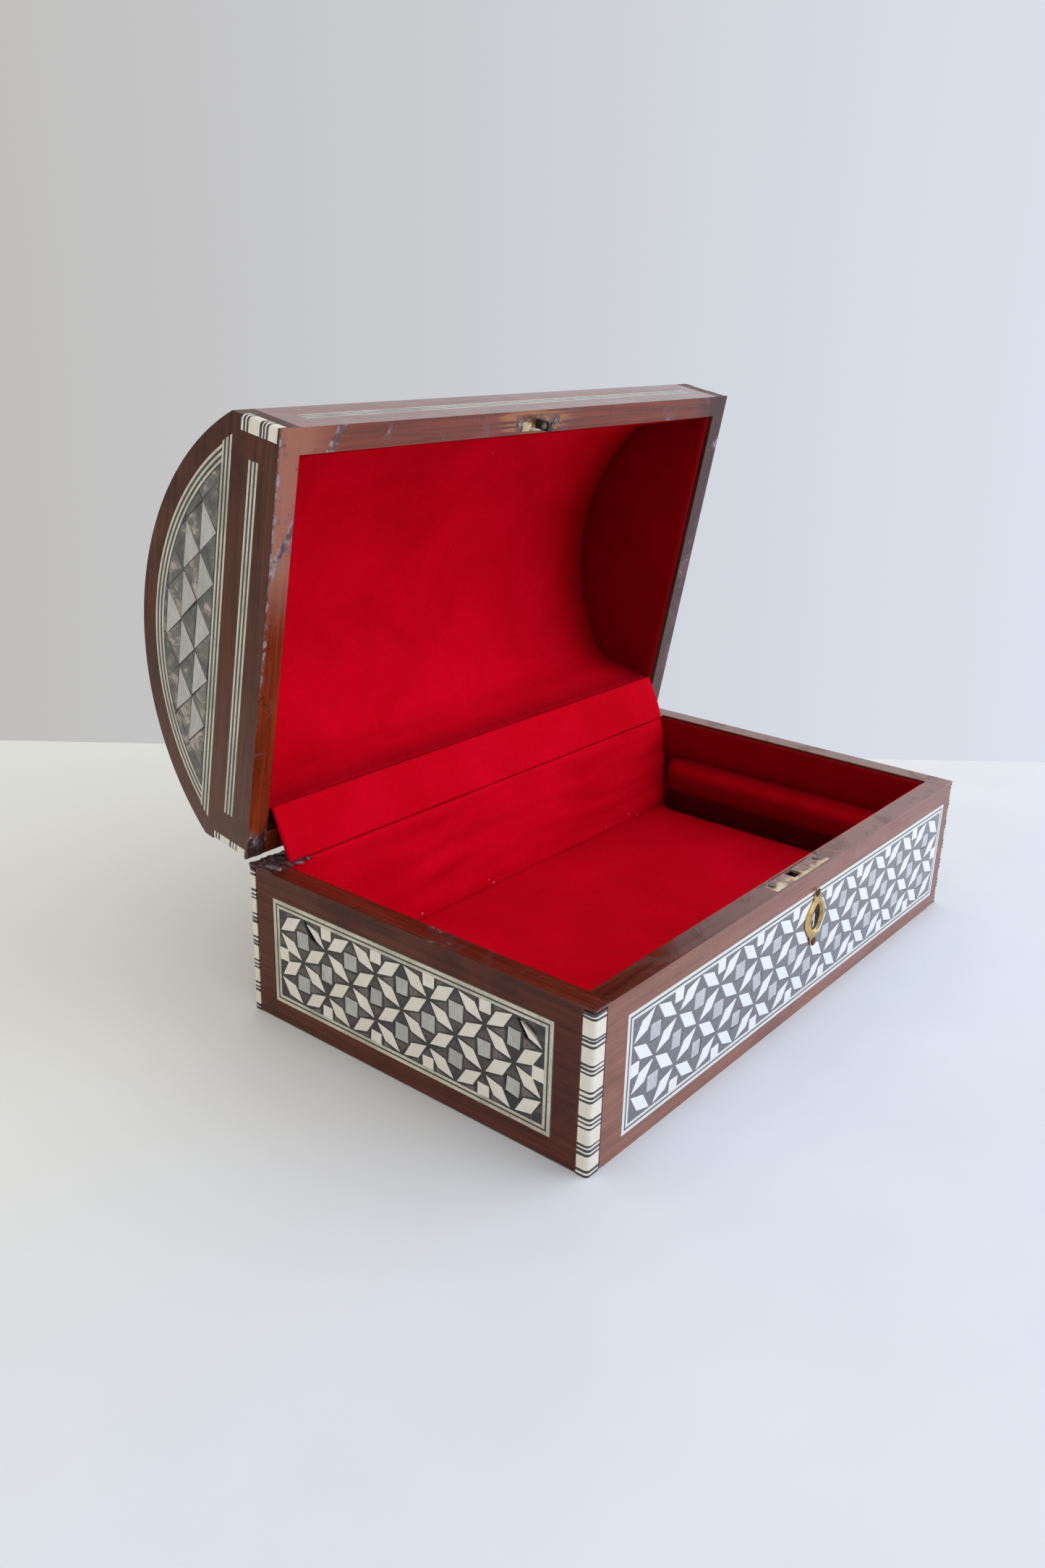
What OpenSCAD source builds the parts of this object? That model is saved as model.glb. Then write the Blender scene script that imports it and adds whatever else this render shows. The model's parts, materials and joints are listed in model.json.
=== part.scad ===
// Inlaid wooden box with a barrel lid, a velvet lining and a small box lock.
// The origin is the centre of the base's underside. +X runs to the right along the
// front, the front faces -Y and +Z is up. The lid is drawn standing open.

/* [Box] */
// Length of the box, left to right
box_l = 200; // [190:1:230]
// Depth of the box, front to back
box_w = 116.6; // [112:0.2:124]
// Height of the base, up to its rim
base_h = 44; // [43:0.5:50]
// Height of the lid above its own rim
lid_h = 48.5; // [47:0.5:51]
// Radius of the lid's barrel
barrel_r = 70; // [68:0.5:76]
// Angle that the lid stands open
lid_open = 80; // [60:1:80]

/* [Boards] */
// Thickness of the walls and end boards
wall = 6.6; // [6:0.1:8]
// Thickness of the bottom board
bottom_t = 5; // [3:0.5:6]
// Thickness of the curved lid board
barrel_t = 5.5; // [4:0.5:6]

/* [Inlay] */
// Thickness of the inlaid panels
panel_t = 1.6; // [1.2:0.1:2]
// Depth of the pieces let into a panel
piece_t = 1; // [0.6:0.1:1.1]
// Width across a bone lozenge
lozenge_w = 4.2; // [3:0.1:4.4]
// Ground left at each tip of a lozenge
tip_gap = 0.7; // [0.4:0.1:1.2]
// Star cells along the front
front_cells = 9; // [8:1:10]
// Star cells along an end
end_cells = 5; // [4:1:5]
// Cells of the pattern around the barrel
barrel_cells = 5; // [4:1:6]
// Pitch of the pearl triangles on the lid's ends
triangle_pitch = 13.5; // [12:0.1:15]

/* [Lining] */
// Height of the padded floor's top
floor_top = 11; // [9:0.5:14]
// Thickness of velvet on card
card_t = 1.2; // [0.8:0.1:1.6]
// Gap behind the right-hand lining
card_gap = 1.2; // [0.5:0.1:1.4]
// How far the ring roll stands out from the right lining
roll_w = 6; // [4:0.5:10]
// Height of the ring roll's top
roll_top = 30; // [24:1:34]

/* [Hardware] */
// Thickness of a hinge leaf
leaf_t = 0.45; // [0.3:0.05:0.6]
// Length of a hinge
hinge_l = 25; // [18:1:32]
// Distance of each hinge from the middle
hinge_x = 62; // [40:1:70]
// Travel of the lock's bolt
bolt_travel = 3.5; // [2.5:0.1:3.5]
// Place of the lock's slot along the front
slot_x = -3.4; // [-5:0.1:-2]
// Place of the keyhole along the front
key_x = 5.5; // [4:0.1:7]

/* [Hidden] */
$fn = 64;
arc_fn = 240;
eps = 0.01;
fit = 0.05;

// Halves and inner faces
hl = box_l / 2;
hw = box_w / 2;
in_l = hl - wall;
in_w = hw - wall;

// Hinge line, the gap between the closed rims, and the lid's own levels
rim_gap = 2 * leaf_t + 0.1;
hinge_y = hw + 0.56;
hinge_z = base_h + rim_gap / 2;
knuckle_r = 1.2;
pin_r = 0.55;
barrel_c = lid_h - barrel_r;
shoulder_z = barrel_c + sqrt(barrel_r * barrel_r - hw * hw);

// Stringing: bone, ebony and bone round a panel, and five lines on the lid
string_bone_out = 1;
string_ebony = 0.5;
string_bone_in = 0.8;
string_w = string_bone_out + string_ebony + string_bone_in;
lid_line_bone = 0.66;
lid_line_ebony = 0.7;
lid_string_w = 3 * lid_line_bone + 2 * lid_line_ebony;
lid_band_z = 6.8;
lid_chord_z = 16.7;
lid_arc_inset = 5.3;
lid_line_t = 1.2;

// Panels of the base as [low along, low z, length, height], in each face's own plane
front_panel = [-hl + 13.3, 4.5, box_l - 18.8, 32.9];
back_panel = [-hl + 9.4, 4.5, box_l - 18.8, 32.9];
end_panel = [-hw + 11.3, 6.1, box_w - 20.9, 30.9];
sides = ["front", "back", "left", "right"];
function panel_of(side) =
    side == "front" ? front_panel : side == "back" ? back_panel : end_panel;
function cells_of(side) = side == "front" || side == "back" ? front_cells : end_cells;
cell_rows = 2;
square_w = 4.5;
square_h = 4.8;
edge_square_w = 3.8;
edge_square_h = 3.5;

// Corner strips as [x side, y side, width along x, width along y], and the rims' wood over their ends
base_corners = [[-1, -1, 4.3, 3.3], [-1, 1, 4.2, 2.6], [1, -1, 1.2, 4.8], [1, 1, 4.2, 4.2]];
lid_corners = [[-1, -1, 2.6, 3.7], [-1, 1, 4.2, 2.6], [1, -1, 1.2, 4.8], [1, 1, 4.2, 4.2]];
corner_lip = 0.8;
band_pitch = 7.1;
slice_ebony = 0.7;
slice_bone = 0.5;
base_strip = [0, base_h - corner_lip];
lid_strip = [corner_lip, 14];
base_first_slice = -1.2;
lid_first_slice = 4;

// Ends of the lid: rows of pearl triangles between darker ones
triangle_rows = 3;
triangle_h = 6;
triangle_gap = 0.7;
end_field_z = lid_chord_z + lid_string_w;
end_field_r = barrel_r - lid_arc_inset - lid_string_w;

// Panel on the barrel, as an angle each side of the top and a half length
barrel_a = 44;
barrel_half_l = hl - 12;

// Lock
lock_x = -2;
lock_l = 30;
lock_y = -hw + 0.8;
lock_w = 5;
lock_t = 0.8;
case_l = 22;
case_y = -hw + 1.7;
case_w = 4.4;
case_h = 21;
case_wall = 0.6;
bolt_z = base_h - 2.6;
bolt_h = 1.4;
bolt_w = 1.2;
bolt_y = -hw + 3.15;
bolt_l = 9.6;
bolt_body_x = key_x - 4;
bolt_body_w = 6.6;
bolt_body_h = 6;
stud_x = bolt_body_x + 1.25;
stud_z = bolt_z - 1.9;
stud_r = 0.45;
tongue_w = 1.8;
tongue_d = 2.6;
tongue_l = 4.6;
tongue_y = -hw + 2.45;
catch_l = 20;
catch_y = -hw + 1.2;
catch_w = 4.8;
catch_t = 0.6;
nail_x = 8.2;
nail_r = 0.45;
nail_l = 4.5;
key_z = 28.7;
lock_screw_x = 12.5;
lock_screw_y = -hw + 3.9;
lock_screw_l = 5.8;
lock_screw_head = 0.3;
slot_w = 4;
slot_y = -hw + 2;
slot_d = 3.5;
slide_fit = 0.1;
bit_w = 2.4;
bit_h = 3.2;
catch_hole_r = 1.05;

// Keyhole, and the escutcheon round it
key_r = 1.5;
key_slot_w = 1.4;
key_slot_l = 3.6;
key_pin_r = 0.6;
esc_half_w = 5.9;
esc_half_h = 9;
esc_tip_w = 1.9;
esc_steps = 24;
esc_plate_t = 0.45;
esc_t = 0.95;
esc_boss = [4.9, 6.2];
esc_boss_top = 0.86;
esc_cup = [3.3, 4.4];
esc_cup_floor = 0.3;
esc_pin_z = 7.5;
esc_pin_r = 0.48;
esc_head_r = 1.1;

// Hinge screws
screw_r = 0.6;
screw_head_r = 1.1;
screw_l = 5;
screw_hole_r = screw_r + 0.02;
hinge_screw_y = hw - 3.4;
leaf_in = 5.6;
hinge_screw_x = 8;
hinge_sides = [-1, 1];

// ---------------------------------------------------------------- placing

// Turns the lid, drawn shut, about the hinge line to where it stands open.
module opened() {
    translate([0, hinge_y, hinge_z]) rotate([-lid_open, 0, 0])
        translate([0, -hinge_y, -hinge_z]) children();
}

// Puts lid geometry, drawn with its rim at z = 0, in place.
module on_lid() {
    opened() translate([0, 0, base_h + rim_gap]) children();
}

// Extrudes an outline in the Y-Z plane along X, from x0 for a length t.
module along_x(x0, t) {
    translate([x0, 0, 0]) rotate([90, 0, 90]) linear_extrude(t) children();
}

// Extrudes an outline drawn on an outer face inward, from a depth below the face.
module on_face(side, depth, t) {
    if (side == "front")
        translate([0, -hw + depth + t, 0]) rotate([90, 0, 0]) linear_extrude(t) children();
    if (side == "back")
        translate([0, hw - depth, 0]) rotate([90, 0, 0]) linear_extrude(t) children();
    if (side == "left")
        along_x(-hl + depth, t) children();
    if (side == "right")
        along_x(hl - depth - t, t) children();
}

// ---------------------------------------------------------------- star pattern

// A lozenge on the line between two points, short of both by the tip gap.
module lozenge(from, to) {
    d = to - from;
    half = norm(d) / 2 - tip_gap;
    translate((from + to) / 2) rotate(atan2(d[1], d[0]))
        polygon([[-half, 0], [0, -lozenge_w / 2], [half, 0], [0, lozenge_w / 2]]);
}

// The lozenges of a field w by h, with n cells along it and m up it. Stars meet
// where the column and row numbers add up to an odd number.
module lozenges(w, h, n, m) {
    sx = w / (2 * n);
    sy = h / (2 * m);
    for (i = [0 : 2 * n - 1], j = [0 : 2 * m - 1])
        if ((i + j) % 2 == 1) lozenge([i * sx, j * sy], [(i + 1) * sx, (j + 1) * sy]);
        else lozenge([i * sx, (j + 1) * sy], [(i + 1) * sx, j * sy]);
}

// The pearl squares in the middle of the field's cells.
module cell_squares(w, h, n, m) {
    sx = w / (2 * n);
    sy = h / (2 * m);
    for (i = [1 : 2 * n - 1], j = [1 : 2 * m - 1])
        if ((i + j) % 2 == 0)
            translate([i * sx, j * sy]) square([square_w, square_h], center = true);
}

// The small bone squares where the field's edge cuts a cell in half.
module edge_squares(w, h, n, m) {
    sx = w / (2 * n);
    sy = h / (2 * m);
    for (i = [2 : 2 : 2 * n - 2], top = [0, 1])
        translate([i * sx - edge_square_w / 2, top * (h - edge_square_h)])
            square([edge_square_w, edge_square_h]);
    for (j = [2 : 2 : 2 * m - 2], end = [0, 1])
        translate([end * (w - edge_square_h), j * sy - edge_square_w / 2])
            square([edge_square_h, edge_square_w]);
}

// Moves a child drawn from the field's own corner into a base panel's field.
module in_field(side) {
    p = panel_of(side);
    translate([p[0] + string_w, p[1] + string_w]) children();
}

function field_w(side) = panel_of(side)[2] - 2 * string_w;
function field_h(side) = panel_of(side)[3] - 2 * string_w;

module field_bone(side) {
    in_field(side) {
        lozenges(field_w(side), field_h(side), cells_of(side), cell_rows);
        edge_squares(field_w(side), field_h(side), cells_of(side), cell_rows);
    }
}

module field_pearl(side) {
    in_field(side) cell_squares(field_w(side), field_h(side), cells_of(side), cell_rows);
}

// A rectangular frame of stringing, t wide, set in from the panel's outer edge.
module string_frame(p, inset, t) {
    difference() {
        translate([p[0] + inset, p[1] + inset]) square([p[2] - 2 * inset, p[3] - 2 * inset]);
        translate([p[0] + inset + t, p[1] + inset + t])
            square([p[2] - 2 * (inset + t), p[3] - 2 * (inset + t)]);
    }
}

module panel_recess(side) {
    p = panel_of(side);
    on_face(side, -eps, panel_t + eps) translate([p[0], p[1]]) square([p[2], p[3]]);
}

// ---------------------------------------------------------------- base boards

module corner_block(c, z0, h) {
    translate([c[0] > 0 ? hl - c[2] : -hl, c[1] > 0 ? hw - c[3] : -hw, z0]) cube([c[2], c[3], h]);
}

// Room for corner strips between two levels, open past the end that isn't covered.
module corner_rebates(corners, levels) {
    low = levels[0] > 0 ? levels[0] : -eps;
    high = levels[0] > 0 ? levels[1] + eps : levels[1];
    for (c = corners) corner_block(c, low, high - low);
}

module base_bottom() {
    color("saddlebrown") translate([-in_l, -in_w, 0]) cube([2 * in_l, 2 * in_w, bottom_t]);
}

module hinge_relief() {
    for (s = hinge_sides)
        translate([s * hinge_x - hinge_l / 2 - 0.2, hinge_y, hinge_z]) rotate([0, 90, 0])
            cylinder(r = knuckle_r + 0.15, h = hinge_l + 0.4);
}

module hinge_screw_holes(dir) {
    for (s = hinge_sides, t = hinge_sides)
        translate([s * hinge_x + t * hinge_screw_x, hinge_screw_y, hinge_z])
            mirror([0, 0, dir < 0 ? 1 : 0])
                cylinder(r = screw_hole_r, h = screw_l + rim_gap / 2 + 0.2);
}

module long_wall(y0) {
    translate([-in_l, y0, 0]) cube([2 * in_l, wall, base_h]);
}

module base_front_wall() {
    color("rosybrown") difference() {
        long_wall(-hw);
        panel_recess("front");
        // mortise for the lock's case, and the seat for its plate
        translate([lock_x - case_l / 2, case_y, base_h - case_h])
            cube([case_l, case_w, case_h + eps]);
        translate([lock_x - lock_l / 2, lock_y, base_h - lock_t])
            cube([lock_l, lock_w, lock_t + eps]);
        on_face("front", panel_t - eps, case_y + hw - panel_t + 2 * eps) keyhole();
        for (s = [-1, 1]) translate([lock_x + s * lock_screw_x, lock_screw_y, base_h - 6])
            cylinder(r = screw_hole_r, h = 6);
    }
}

module base_back_wall() {
    color("saddlebrown") difference() {
        long_wall(hw - wall);
        panel_recess("back");
        hinge_relief();
        hinge_screw_holes(-1);
    }
}

module end_wall(side) {
    color("saddlebrown") difference() {
        translate([side == "left" ? -hl : in_l, -hw, 0]) cube([wall, box_w, base_h]);
        panel_recess(side);
        panel_recess("front");
        corner_rebates(base_corners, base_strip);
    }
}

module base_left_wall() { end_wall("left"); }
module base_right_wall() { end_wall("right"); }

// Banded corner strips: bone blocks between groups of three ebony slices.
module corner_slices(corners, levels, first) {
    for (c = corners, z0 = [first : band_pitch : levels[1]], k = [0 : 2]) {
        z = z0 + k * (slice_ebony + slice_bone);
        if (z >= levels[0] && z < levels[1])
            corner_block(c, z, min(slice_ebony, levels[1] - z));
    }
}

module corner_bones(corners, levels, first) {
    difference() {
        for (c = corners) corner_block(c, levels[0], levels[1] - levels[0]);
        corner_slices_cut(levels, first);
    }
}

module corner_slices_cut(levels, first) {
    for (z0 = [first : band_pitch : levels[1]], k = [0 : 2]) {
        z = z0 + k * (slice_ebony + slice_bone);
        if (z >= levels[0]) translate([-hl - 1, -hw - 1, z])
            cube([box_l + 2, box_w + 2, slice_ebony]);
    }
}

module base_corner_bone() {
    color("ivory") corner_bones(base_corners, base_strip, base_first_slice);
}

module base_corner_ebony() {
    color([0.08, 0.07, 0.07]) corner_slices(base_corners, base_strip, base_first_slice);
}

// ---------------------------------------------------------------- base inlay

module base_ground(side) {
    p = panel_of(side);
    color([0.2, 0.15, 0.13]) difference() {
        union() {
            on_face(side, piece_t, panel_t - piece_t) in_field(side)
                square([field_w(side), field_h(side)]);
            on_face(side, 0, piece_t + eps) difference() {
                in_field(side) square([field_w(side), field_h(side)]);
                field_bone(side);
                field_pearl(side);
            }
        }
        if (side == "front") on_face("front", -eps, panel_t + 2 * eps) keyhole();
    }
}

module base_front_ground() { base_ground("front"); }
module base_back_ground() { base_ground("back"); }
module base_left_ground() { base_ground("left"); }
module base_right_ground() { base_ground("right"); }

module base_bone_pieces() {
    color("ivory") for (side = sides) on_face(side, 0, piece_t) difference() {
        field_bone(side);
        if (side == "front") keyhole();
    }
}

module base_pearl_pieces() {
    color([0.72, 0.74, 0.76]) for (side = sides) on_face(side, 0, piece_t) difference() {
        field_pearl(side);
        if (side == "front") keyhole();
    }
}

module base_bone_stringing() {
    color("ivory") for (side = sides) on_face(side, 0, panel_t) {
        string_frame(panel_of(side), 0, string_bone_out);
        string_frame(panel_of(side), string_bone_out + string_ebony, string_bone_in);
    }
}

module base_ebony_stringing() {
    color([0.08, 0.07, 0.07]) for (side = sides)
        on_face(side, 0, panel_t) string_frame(panel_of(side), string_bone_out, string_ebony);
}

// ---------------------------------------------------------------- lid boards

// The lid's end outline: upright sides under a barrel arc.
module lid_outline(r = barrel_r, half = hw) {
    intersection() {
        translate([0, barrel_c]) circle(r = r, $fn = arc_fn);
        translate([-half, 0]) square([2 * half, lid_h + 1]);
    }
}

// Outline of the end panel's field, over the chord of stringing.
module end_field(r, z0) {
    intersection() {
        translate([0, barrel_c]) circle(r = r, $fn = arc_fn);
        translate([-hw, z0]) square([box_w, lid_h]);
    }
}

// Arc lines that stand on the chord, number k counted from the outside.
module arc_line(k, t) {
    r = barrel_r - lid_arc_inset - k * (lid_line_bone + lid_line_ebony) / 2
        - (k % 2) * (lid_line_bone - lid_line_ebony) / 2;
    difference() {
        end_field(r, end_field_z);
        end_field(r - t, end_field_z - eps);
    }
}

function line_t(k) = k % 2 == 0 ? lid_line_bone : lid_line_ebony;
function line_at(k) = floor((k + 1) / 2) * lid_line_bone + floor(k / 2) * lid_line_ebony;

// Straight line k of a group of five, from z0 up, between -half and half.
module straight_line(k, z0, half) {
    translate([-half, z0 + line_at(k)]) square([2 * half, line_t(k)]);
}

module chord_line(k) {
    intersection() {
        straight_line(k, lid_chord_z, hw);
        translate([0, barrel_c]) circle(r = barrel_r - lid_arc_inset + 0.5, $fn = arc_fn);
    }
}

end_band_half = hw - 10;
front_band_half = hl - 14;

// The five lines of one lid end, or only those of one colour.
module end_lines(first) {
    for (k = [first : 2 : 4]) {
        straight_line(k, lid_band_z, end_band_half);
        chord_line(k);
        arc_line(k, line_t(k));
    }
}

module end_groove() {
    translate([-end_band_half, lid_band_z]) square([2 * end_band_half, lid_string_w]);
    intersection() {
        translate([-hw, lid_chord_z]) square([box_w, lid_string_w + eps]);
        translate([0, barrel_c]) circle(r = barrel_r - lid_arc_inset + 0.5, $fn = arc_fn);
    }
    end_field(barrel_r - lid_arc_inset, end_field_z);
}

module lid_end(side) {
    color("saddlebrown") on_lid() difference() {
        on_face(side, 0, wall) lid_outline();
        on_face(side, -eps, lid_line_t + eps) end_groove();
        corner_rebates(lid_corners, lid_strip);
    }
}

module lid_left_end() { lid_end("left"); }
module lid_right_end() { lid_end("right"); }

module rail_groove(side) {
    on_face(side, -eps, lid_line_t + eps)
        translate([-front_band_half, lid_band_z]) square([2 * front_band_half, lid_string_w]);
}

module lid_front_rail() {
    color("saddlebrown") on_lid() difference() {
        translate([-in_l, -hw, 0]) cube([2 * in_l, wall, shoulder_z]);
        rail_groove("front");
        translate([slot_x - catch_l / 2, catch_y, -eps]) cube([catch_l, catch_w, catch_t + eps]);
        at_nails() translate([0, 0, -eps]) cylinder(r = nail_r + 0.02, h = nail_l + 0.1);
    }
}

module lid_back_rail() {
    color("saddlebrown") opened() difference() {
        translate([0, 0, base_h + rim_gap]) difference() {
            translate([-in_l, hw - wall, 0]) cube([2 * in_l, wall, shoulder_z]);
            rail_groove("back");
        }
        hinge_relief();
        hinge_screw_holes(1);
    }
}

// A slice of the barrel between two radii, a degrees each side of the top.
module barrel_sector(r0, r1, a) {
    intersection() {
        translate([0, barrel_c]) difference() {
            circle(r = r1, $fn = arc_fn);
            circle(r = r0, $fn = arc_fn);
        }
        translate([0, barrel_c])
            polygon([[0, 0], [-2 * r1 * sin(a), 2 * r1 * cos(a)], [0, 4 * r1],
                     [2 * r1 * sin(a), 2 * r1 * cos(a)]]);
    }
}

module lid_barrel() {
    color("saddlebrown") on_lid() difference() {
        along_x(-in_l, 2 * in_l) intersection() {
            translate([0, barrel_c]) difference() {
                circle(r = barrel_r, $fn = arc_fn);
                circle(r = barrel_r - barrel_t, $fn = arc_fn);
            }
            translate([-hw, shoulder_z]) square([box_w, lid_h]);
        }
        along_x(-barrel_half_l, 2 * barrel_half_l)
            barrel_sector(barrel_r - panel_t, barrel_r + 1, barrel_a);
    }
}

module lid_corner_bone() {
    color("ivory") on_lid() corner_bones(lid_corners, lid_strip, lid_first_slice);
}

module lid_corner_ebony() {
    color([0.08, 0.07, 0.07]) on_lid() corner_slices(lid_corners, lid_strip, lid_first_slice);
}

// ---------------------------------------------------------------- lid inlay

// Pearl triangles point down; the darker ones between them point up.
module triangle(y, z, up) {
    half = (triangle_pitch - triangle_gap) / 2 * (up ? 1 : -1);
    h = triangle_h - triangle_gap / 2;
    translate([y, z + h / 2])
        polygon([[-half, -h / 2 * (up ? 1 : -1)], [half, -h / 2 * (up ? 1 : -1)],
                 [0, h / 2 * (up ? 1 : -1)]]);
}

function row_z(row) = end_field_z + 0.4 + row * triangle_h;
function row_half(row) =
    sqrt(pow(end_field_r, 2) - pow(row_z(row) + triangle_h - barrel_c, 2));

// Whether the triangle at y, pointing down in this row, fits under the arc.
function fits(row, y) = abs(y) + triangle_pitch / 2 < row_half(row);

// Pearl where a whole triangle fits; darker ones between and out to the arc.
module triangle_row(row, pearl) {
    for (i = [-4 : 4]) {
        y = (i + row % 2 / 2) * triangle_pitch;
        if (fits(row, y) == pearl) triangle(y, row_z(row), false);
        if (!pearl) triangle(y + triangle_pitch / 2, row_z(row), true);
    }
}

module end_triangles(pearl) {
    intersection() {
        for (row = [0 : triangle_rows - 1]) triangle_row(row, pearl);
        end_field(end_field_r - 0.4, end_field_z + 0.3);
    }
}

module lid_ground(side) {
    color([0.2, 0.15, 0.13]) on_lid() on_face(side, 0, lid_line_t) difference() {
        end_field(end_field_r, end_field_z);
        end_triangles(true);
        end_triangles(false);
    }
}

module lid_left_ground() { lid_ground("left"); }
module lid_right_ground() { lid_ground("right"); }

module lid_pearl_triangles() {
    color([0.72, 0.74, 0.76]) on_lid() for (side = ["left", "right"])
        on_face(side, 0, lid_line_t) end_triangles(true);
}

module lid_abalone_triangles() {
    color([0.45, 0.47, 0.45]) on_lid() for (side = ["left", "right"])
        on_face(side, 0, lid_line_t) end_triangles(false);
}

// Field of the barrel's panel: its arc length and the place of a point on it.
string_a = string_w / barrel_r * 180 / PI;
barrel_field_w = 2 * (barrel_half_l - string_w);
barrel_field_h = 2 * (barrel_a - string_a) * PI / 180 * barrel_r;
barrel_sx = barrel_field_w / (2 * front_cells);
barrel_sy = barrel_field_h / (2 * barrel_cells);

// Lays a flat piece, drawn about its own middle, on the barrel at column i, row j.
module on_barrel(i, j) {
    a = (j * barrel_sy - barrel_field_h / 2) / barrel_r * 180 / PI;
    translate([0, 0, barrel_c]) rotate([-a, 0, 0])
        translate([i * barrel_sx - barrel_field_w / 2, 0, barrel_r - piece_t - 0.1])
            linear_extrude(piece_t) children();
}

module barrel_bone_pieces() {
    half = [barrel_sx / 2, barrel_sy / 2];
    for (i = [0 : 2 * front_cells - 1], j = [0 : 2 * barrel_cells - 1]) {
        slope = (i + j) % 2 == 1 ? 1 : -1;
        on_barrel(i + 0.5, j + 0.5)
            lozenge([-half[0], -slope * half[1]], [half[0], slope * half[1]]);
    }
}

module barrel_pearl_pieces() {
    for (i = [1 : 2 * front_cells - 1], j = [1 : 2 * barrel_cells - 1])
        if ((i + j) % 2 == 0) on_barrel(i, j) square([square_w, square_h], center = true);
}

module lid_bone_pieces() { color("ivory") on_lid() barrel_bone_pieces(); }
module lid_pearl_pieces() { color([0.72, 0.74, 0.76]) on_lid() barrel_pearl_pieces(); }

// The barrel's ground is the curved bed that the pieces are glued to.
module lid_barrel_ground() {
    color([0.2, 0.15, 0.13]) on_lid()
        along_x(-barrel_half_l + string_w, 2 * (barrel_half_l - string_w))
            barrel_sector(barrel_r - panel_t, barrel_r - piece_t - 0.1, barrel_a - string_a);
}

// A frame round the barrel's panel, set in by inset and t wide.
module barrel_frame(inset, t) {
    a0 = barrel_a - inset / barrel_r * 180 / PI;
    a1 = barrel_a - (inset + t) / barrel_r * 180 / PI;
    difference() {
        along_x(-barrel_half_l + inset, 2 * (barrel_half_l - inset))
            barrel_sector(barrel_r - panel_t, barrel_r, a0);
        along_x(-barrel_half_l + inset + t, 2 * (barrel_half_l - inset - t))
            barrel_sector(barrel_r - panel_t - 1, barrel_r + 1, a1);
    }
}

module lid_lines(first) {
    for (side = ["left", "right"]) on_face(side, 0, lid_line_t) end_lines(first);
    for (side = ["front", "back"], k = [first : 2 : 4])
        on_face(side, 0, lid_line_t) straight_line(k, lid_band_z, front_band_half);
}

module lid_bone_stringing() {
    color("ivory") on_lid() {
        lid_lines(0);
        barrel_frame(0, string_bone_out);
        barrel_frame(string_bone_out + string_ebony, string_bone_in);
    }
}

module lid_ebony_stringing() {
    color([0.08, 0.07, 0.07]) on_lid() {
        lid_lines(1);
        barrel_frame(string_bone_out, string_ebony);
    }
}

// ---------------------------------------------------------------- lock

module keyhole() {
    translate([key_x, key_z]) {
        circle(r = key_r, $fn = 32);
        translate([-key_slot_w / 2, -key_slot_l]) square([key_slot_w, key_slot_l]);
    }
}

// Open-topped case with a stud for the bolt to slide on.
module lock_case() {
    color("darkgoldenrod") {
        difference() {
            translate([lock_x - case_l / 2, case_y, base_h - case_h])
                cube([case_l, case_w, case_h - lock_t]);
            translate([lock_x - case_l / 2 + case_wall, case_y + case_wall,
                       base_h - case_h + case_wall])
                cube([case_l - 2 * case_wall, case_w - 2 * case_wall, case_h]);
            on_face("front", case_y + hw - eps, case_wall + 2 * eps) keyhole();
        }
        translate([stud_x, case_y + case_w - eps, stud_z]) rotate([90, 0, 0])
            cylinder(r = stud_r, h = case_w - 2 * eps, $fn = 32);
    }
}

module lock_plate() {
    color("rosybrown") difference() {
        translate([lock_x - lock_l / 2, lock_y, base_h - lock_t])
            cube([lock_l, lock_w, lock_t]);
        translate([slot_x - slot_w / 2, slot_y, base_h - 2]) cube([slot_w, slot_d, 3]);
        for (s = [-1, 1]) translate([lock_x + s * lock_screw_x, lock_screw_y, base_h - 2])
            cylinder(r = screw_hole_r, h = 3);
    }
}

// The bolt waits to the right of the slot and slides left through the catch.
module lock_bolt() {
    tip = slot_x + 1.6;
    color("gray") difference() {
        union() {
            translate([tip, bolt_y, bolt_z]) cube([bolt_l, bolt_w, bolt_h]);
            translate([bolt_body_x, bolt_y, bolt_z - bolt_body_h])
                cube([bolt_body_w, bolt_w, bolt_body_h + eps]);
        }
        // notch for the key's bit, and the slot that rides on the stud
        translate([key_x - 1.6, bolt_y - 1, bolt_z - bolt_body_h - 1])
            cube([bit_w, bolt_w + 2, bit_h]);
        translate([stud_x - stud_r - slide_fit, bolt_y - 1, stud_z - stud_r - slide_fit])
            cube([bolt_travel + 2 * (stud_r + slide_fit), bolt_w + 2, 2 * (stud_r + slide_fit)]);
    }
}

module lock_screws() {
    color("gray") for (s = [-1, 1])
        translate([lock_x + s * lock_screw_x, lock_screw_y, base_h + 0.02]) {
            translate([0, 0, -lock_screw_l]) cylinder(r = screw_r, h = lock_screw_l);
            cylinder(r = screw_head_r, h = lock_screw_head);
        }
}

module lock_key_pin() {
    color("gray") translate([key_x, case_y + case_w - case_wall, key_z]) rotate([90, 0, 0])
        cylinder(r = key_pin_r, h = case_w - case_wall - 0.2, $fn = 32);
}

// Half width of the escutcheon at a level t, from -1 at its foot to 1 at its top.
function esc_width(t) =
    max(esc_half_w * pow(max(cos(90 * t), 0), 1.6), esc_tip_w * sqrt(max(1 - pow(t, 8), 0)));

module escutcheon_outline() {
    rising = [for (k = [-esc_steps : esc_steps]) k / esc_steps];
    falling = [for (k = [esc_steps - 1 : -1 : 1 - esc_steps]) k / esc_steps];
    polygon(concat([for (t = rising) [esc_width(t), t * esc_half_h]],
                   [for (t = falling) [-esc_width(t), t * esc_half_h]]));
}

module oval(half) {
    scale([half[0] / half[1], 1]) circle(r = half[1]);
}

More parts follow.
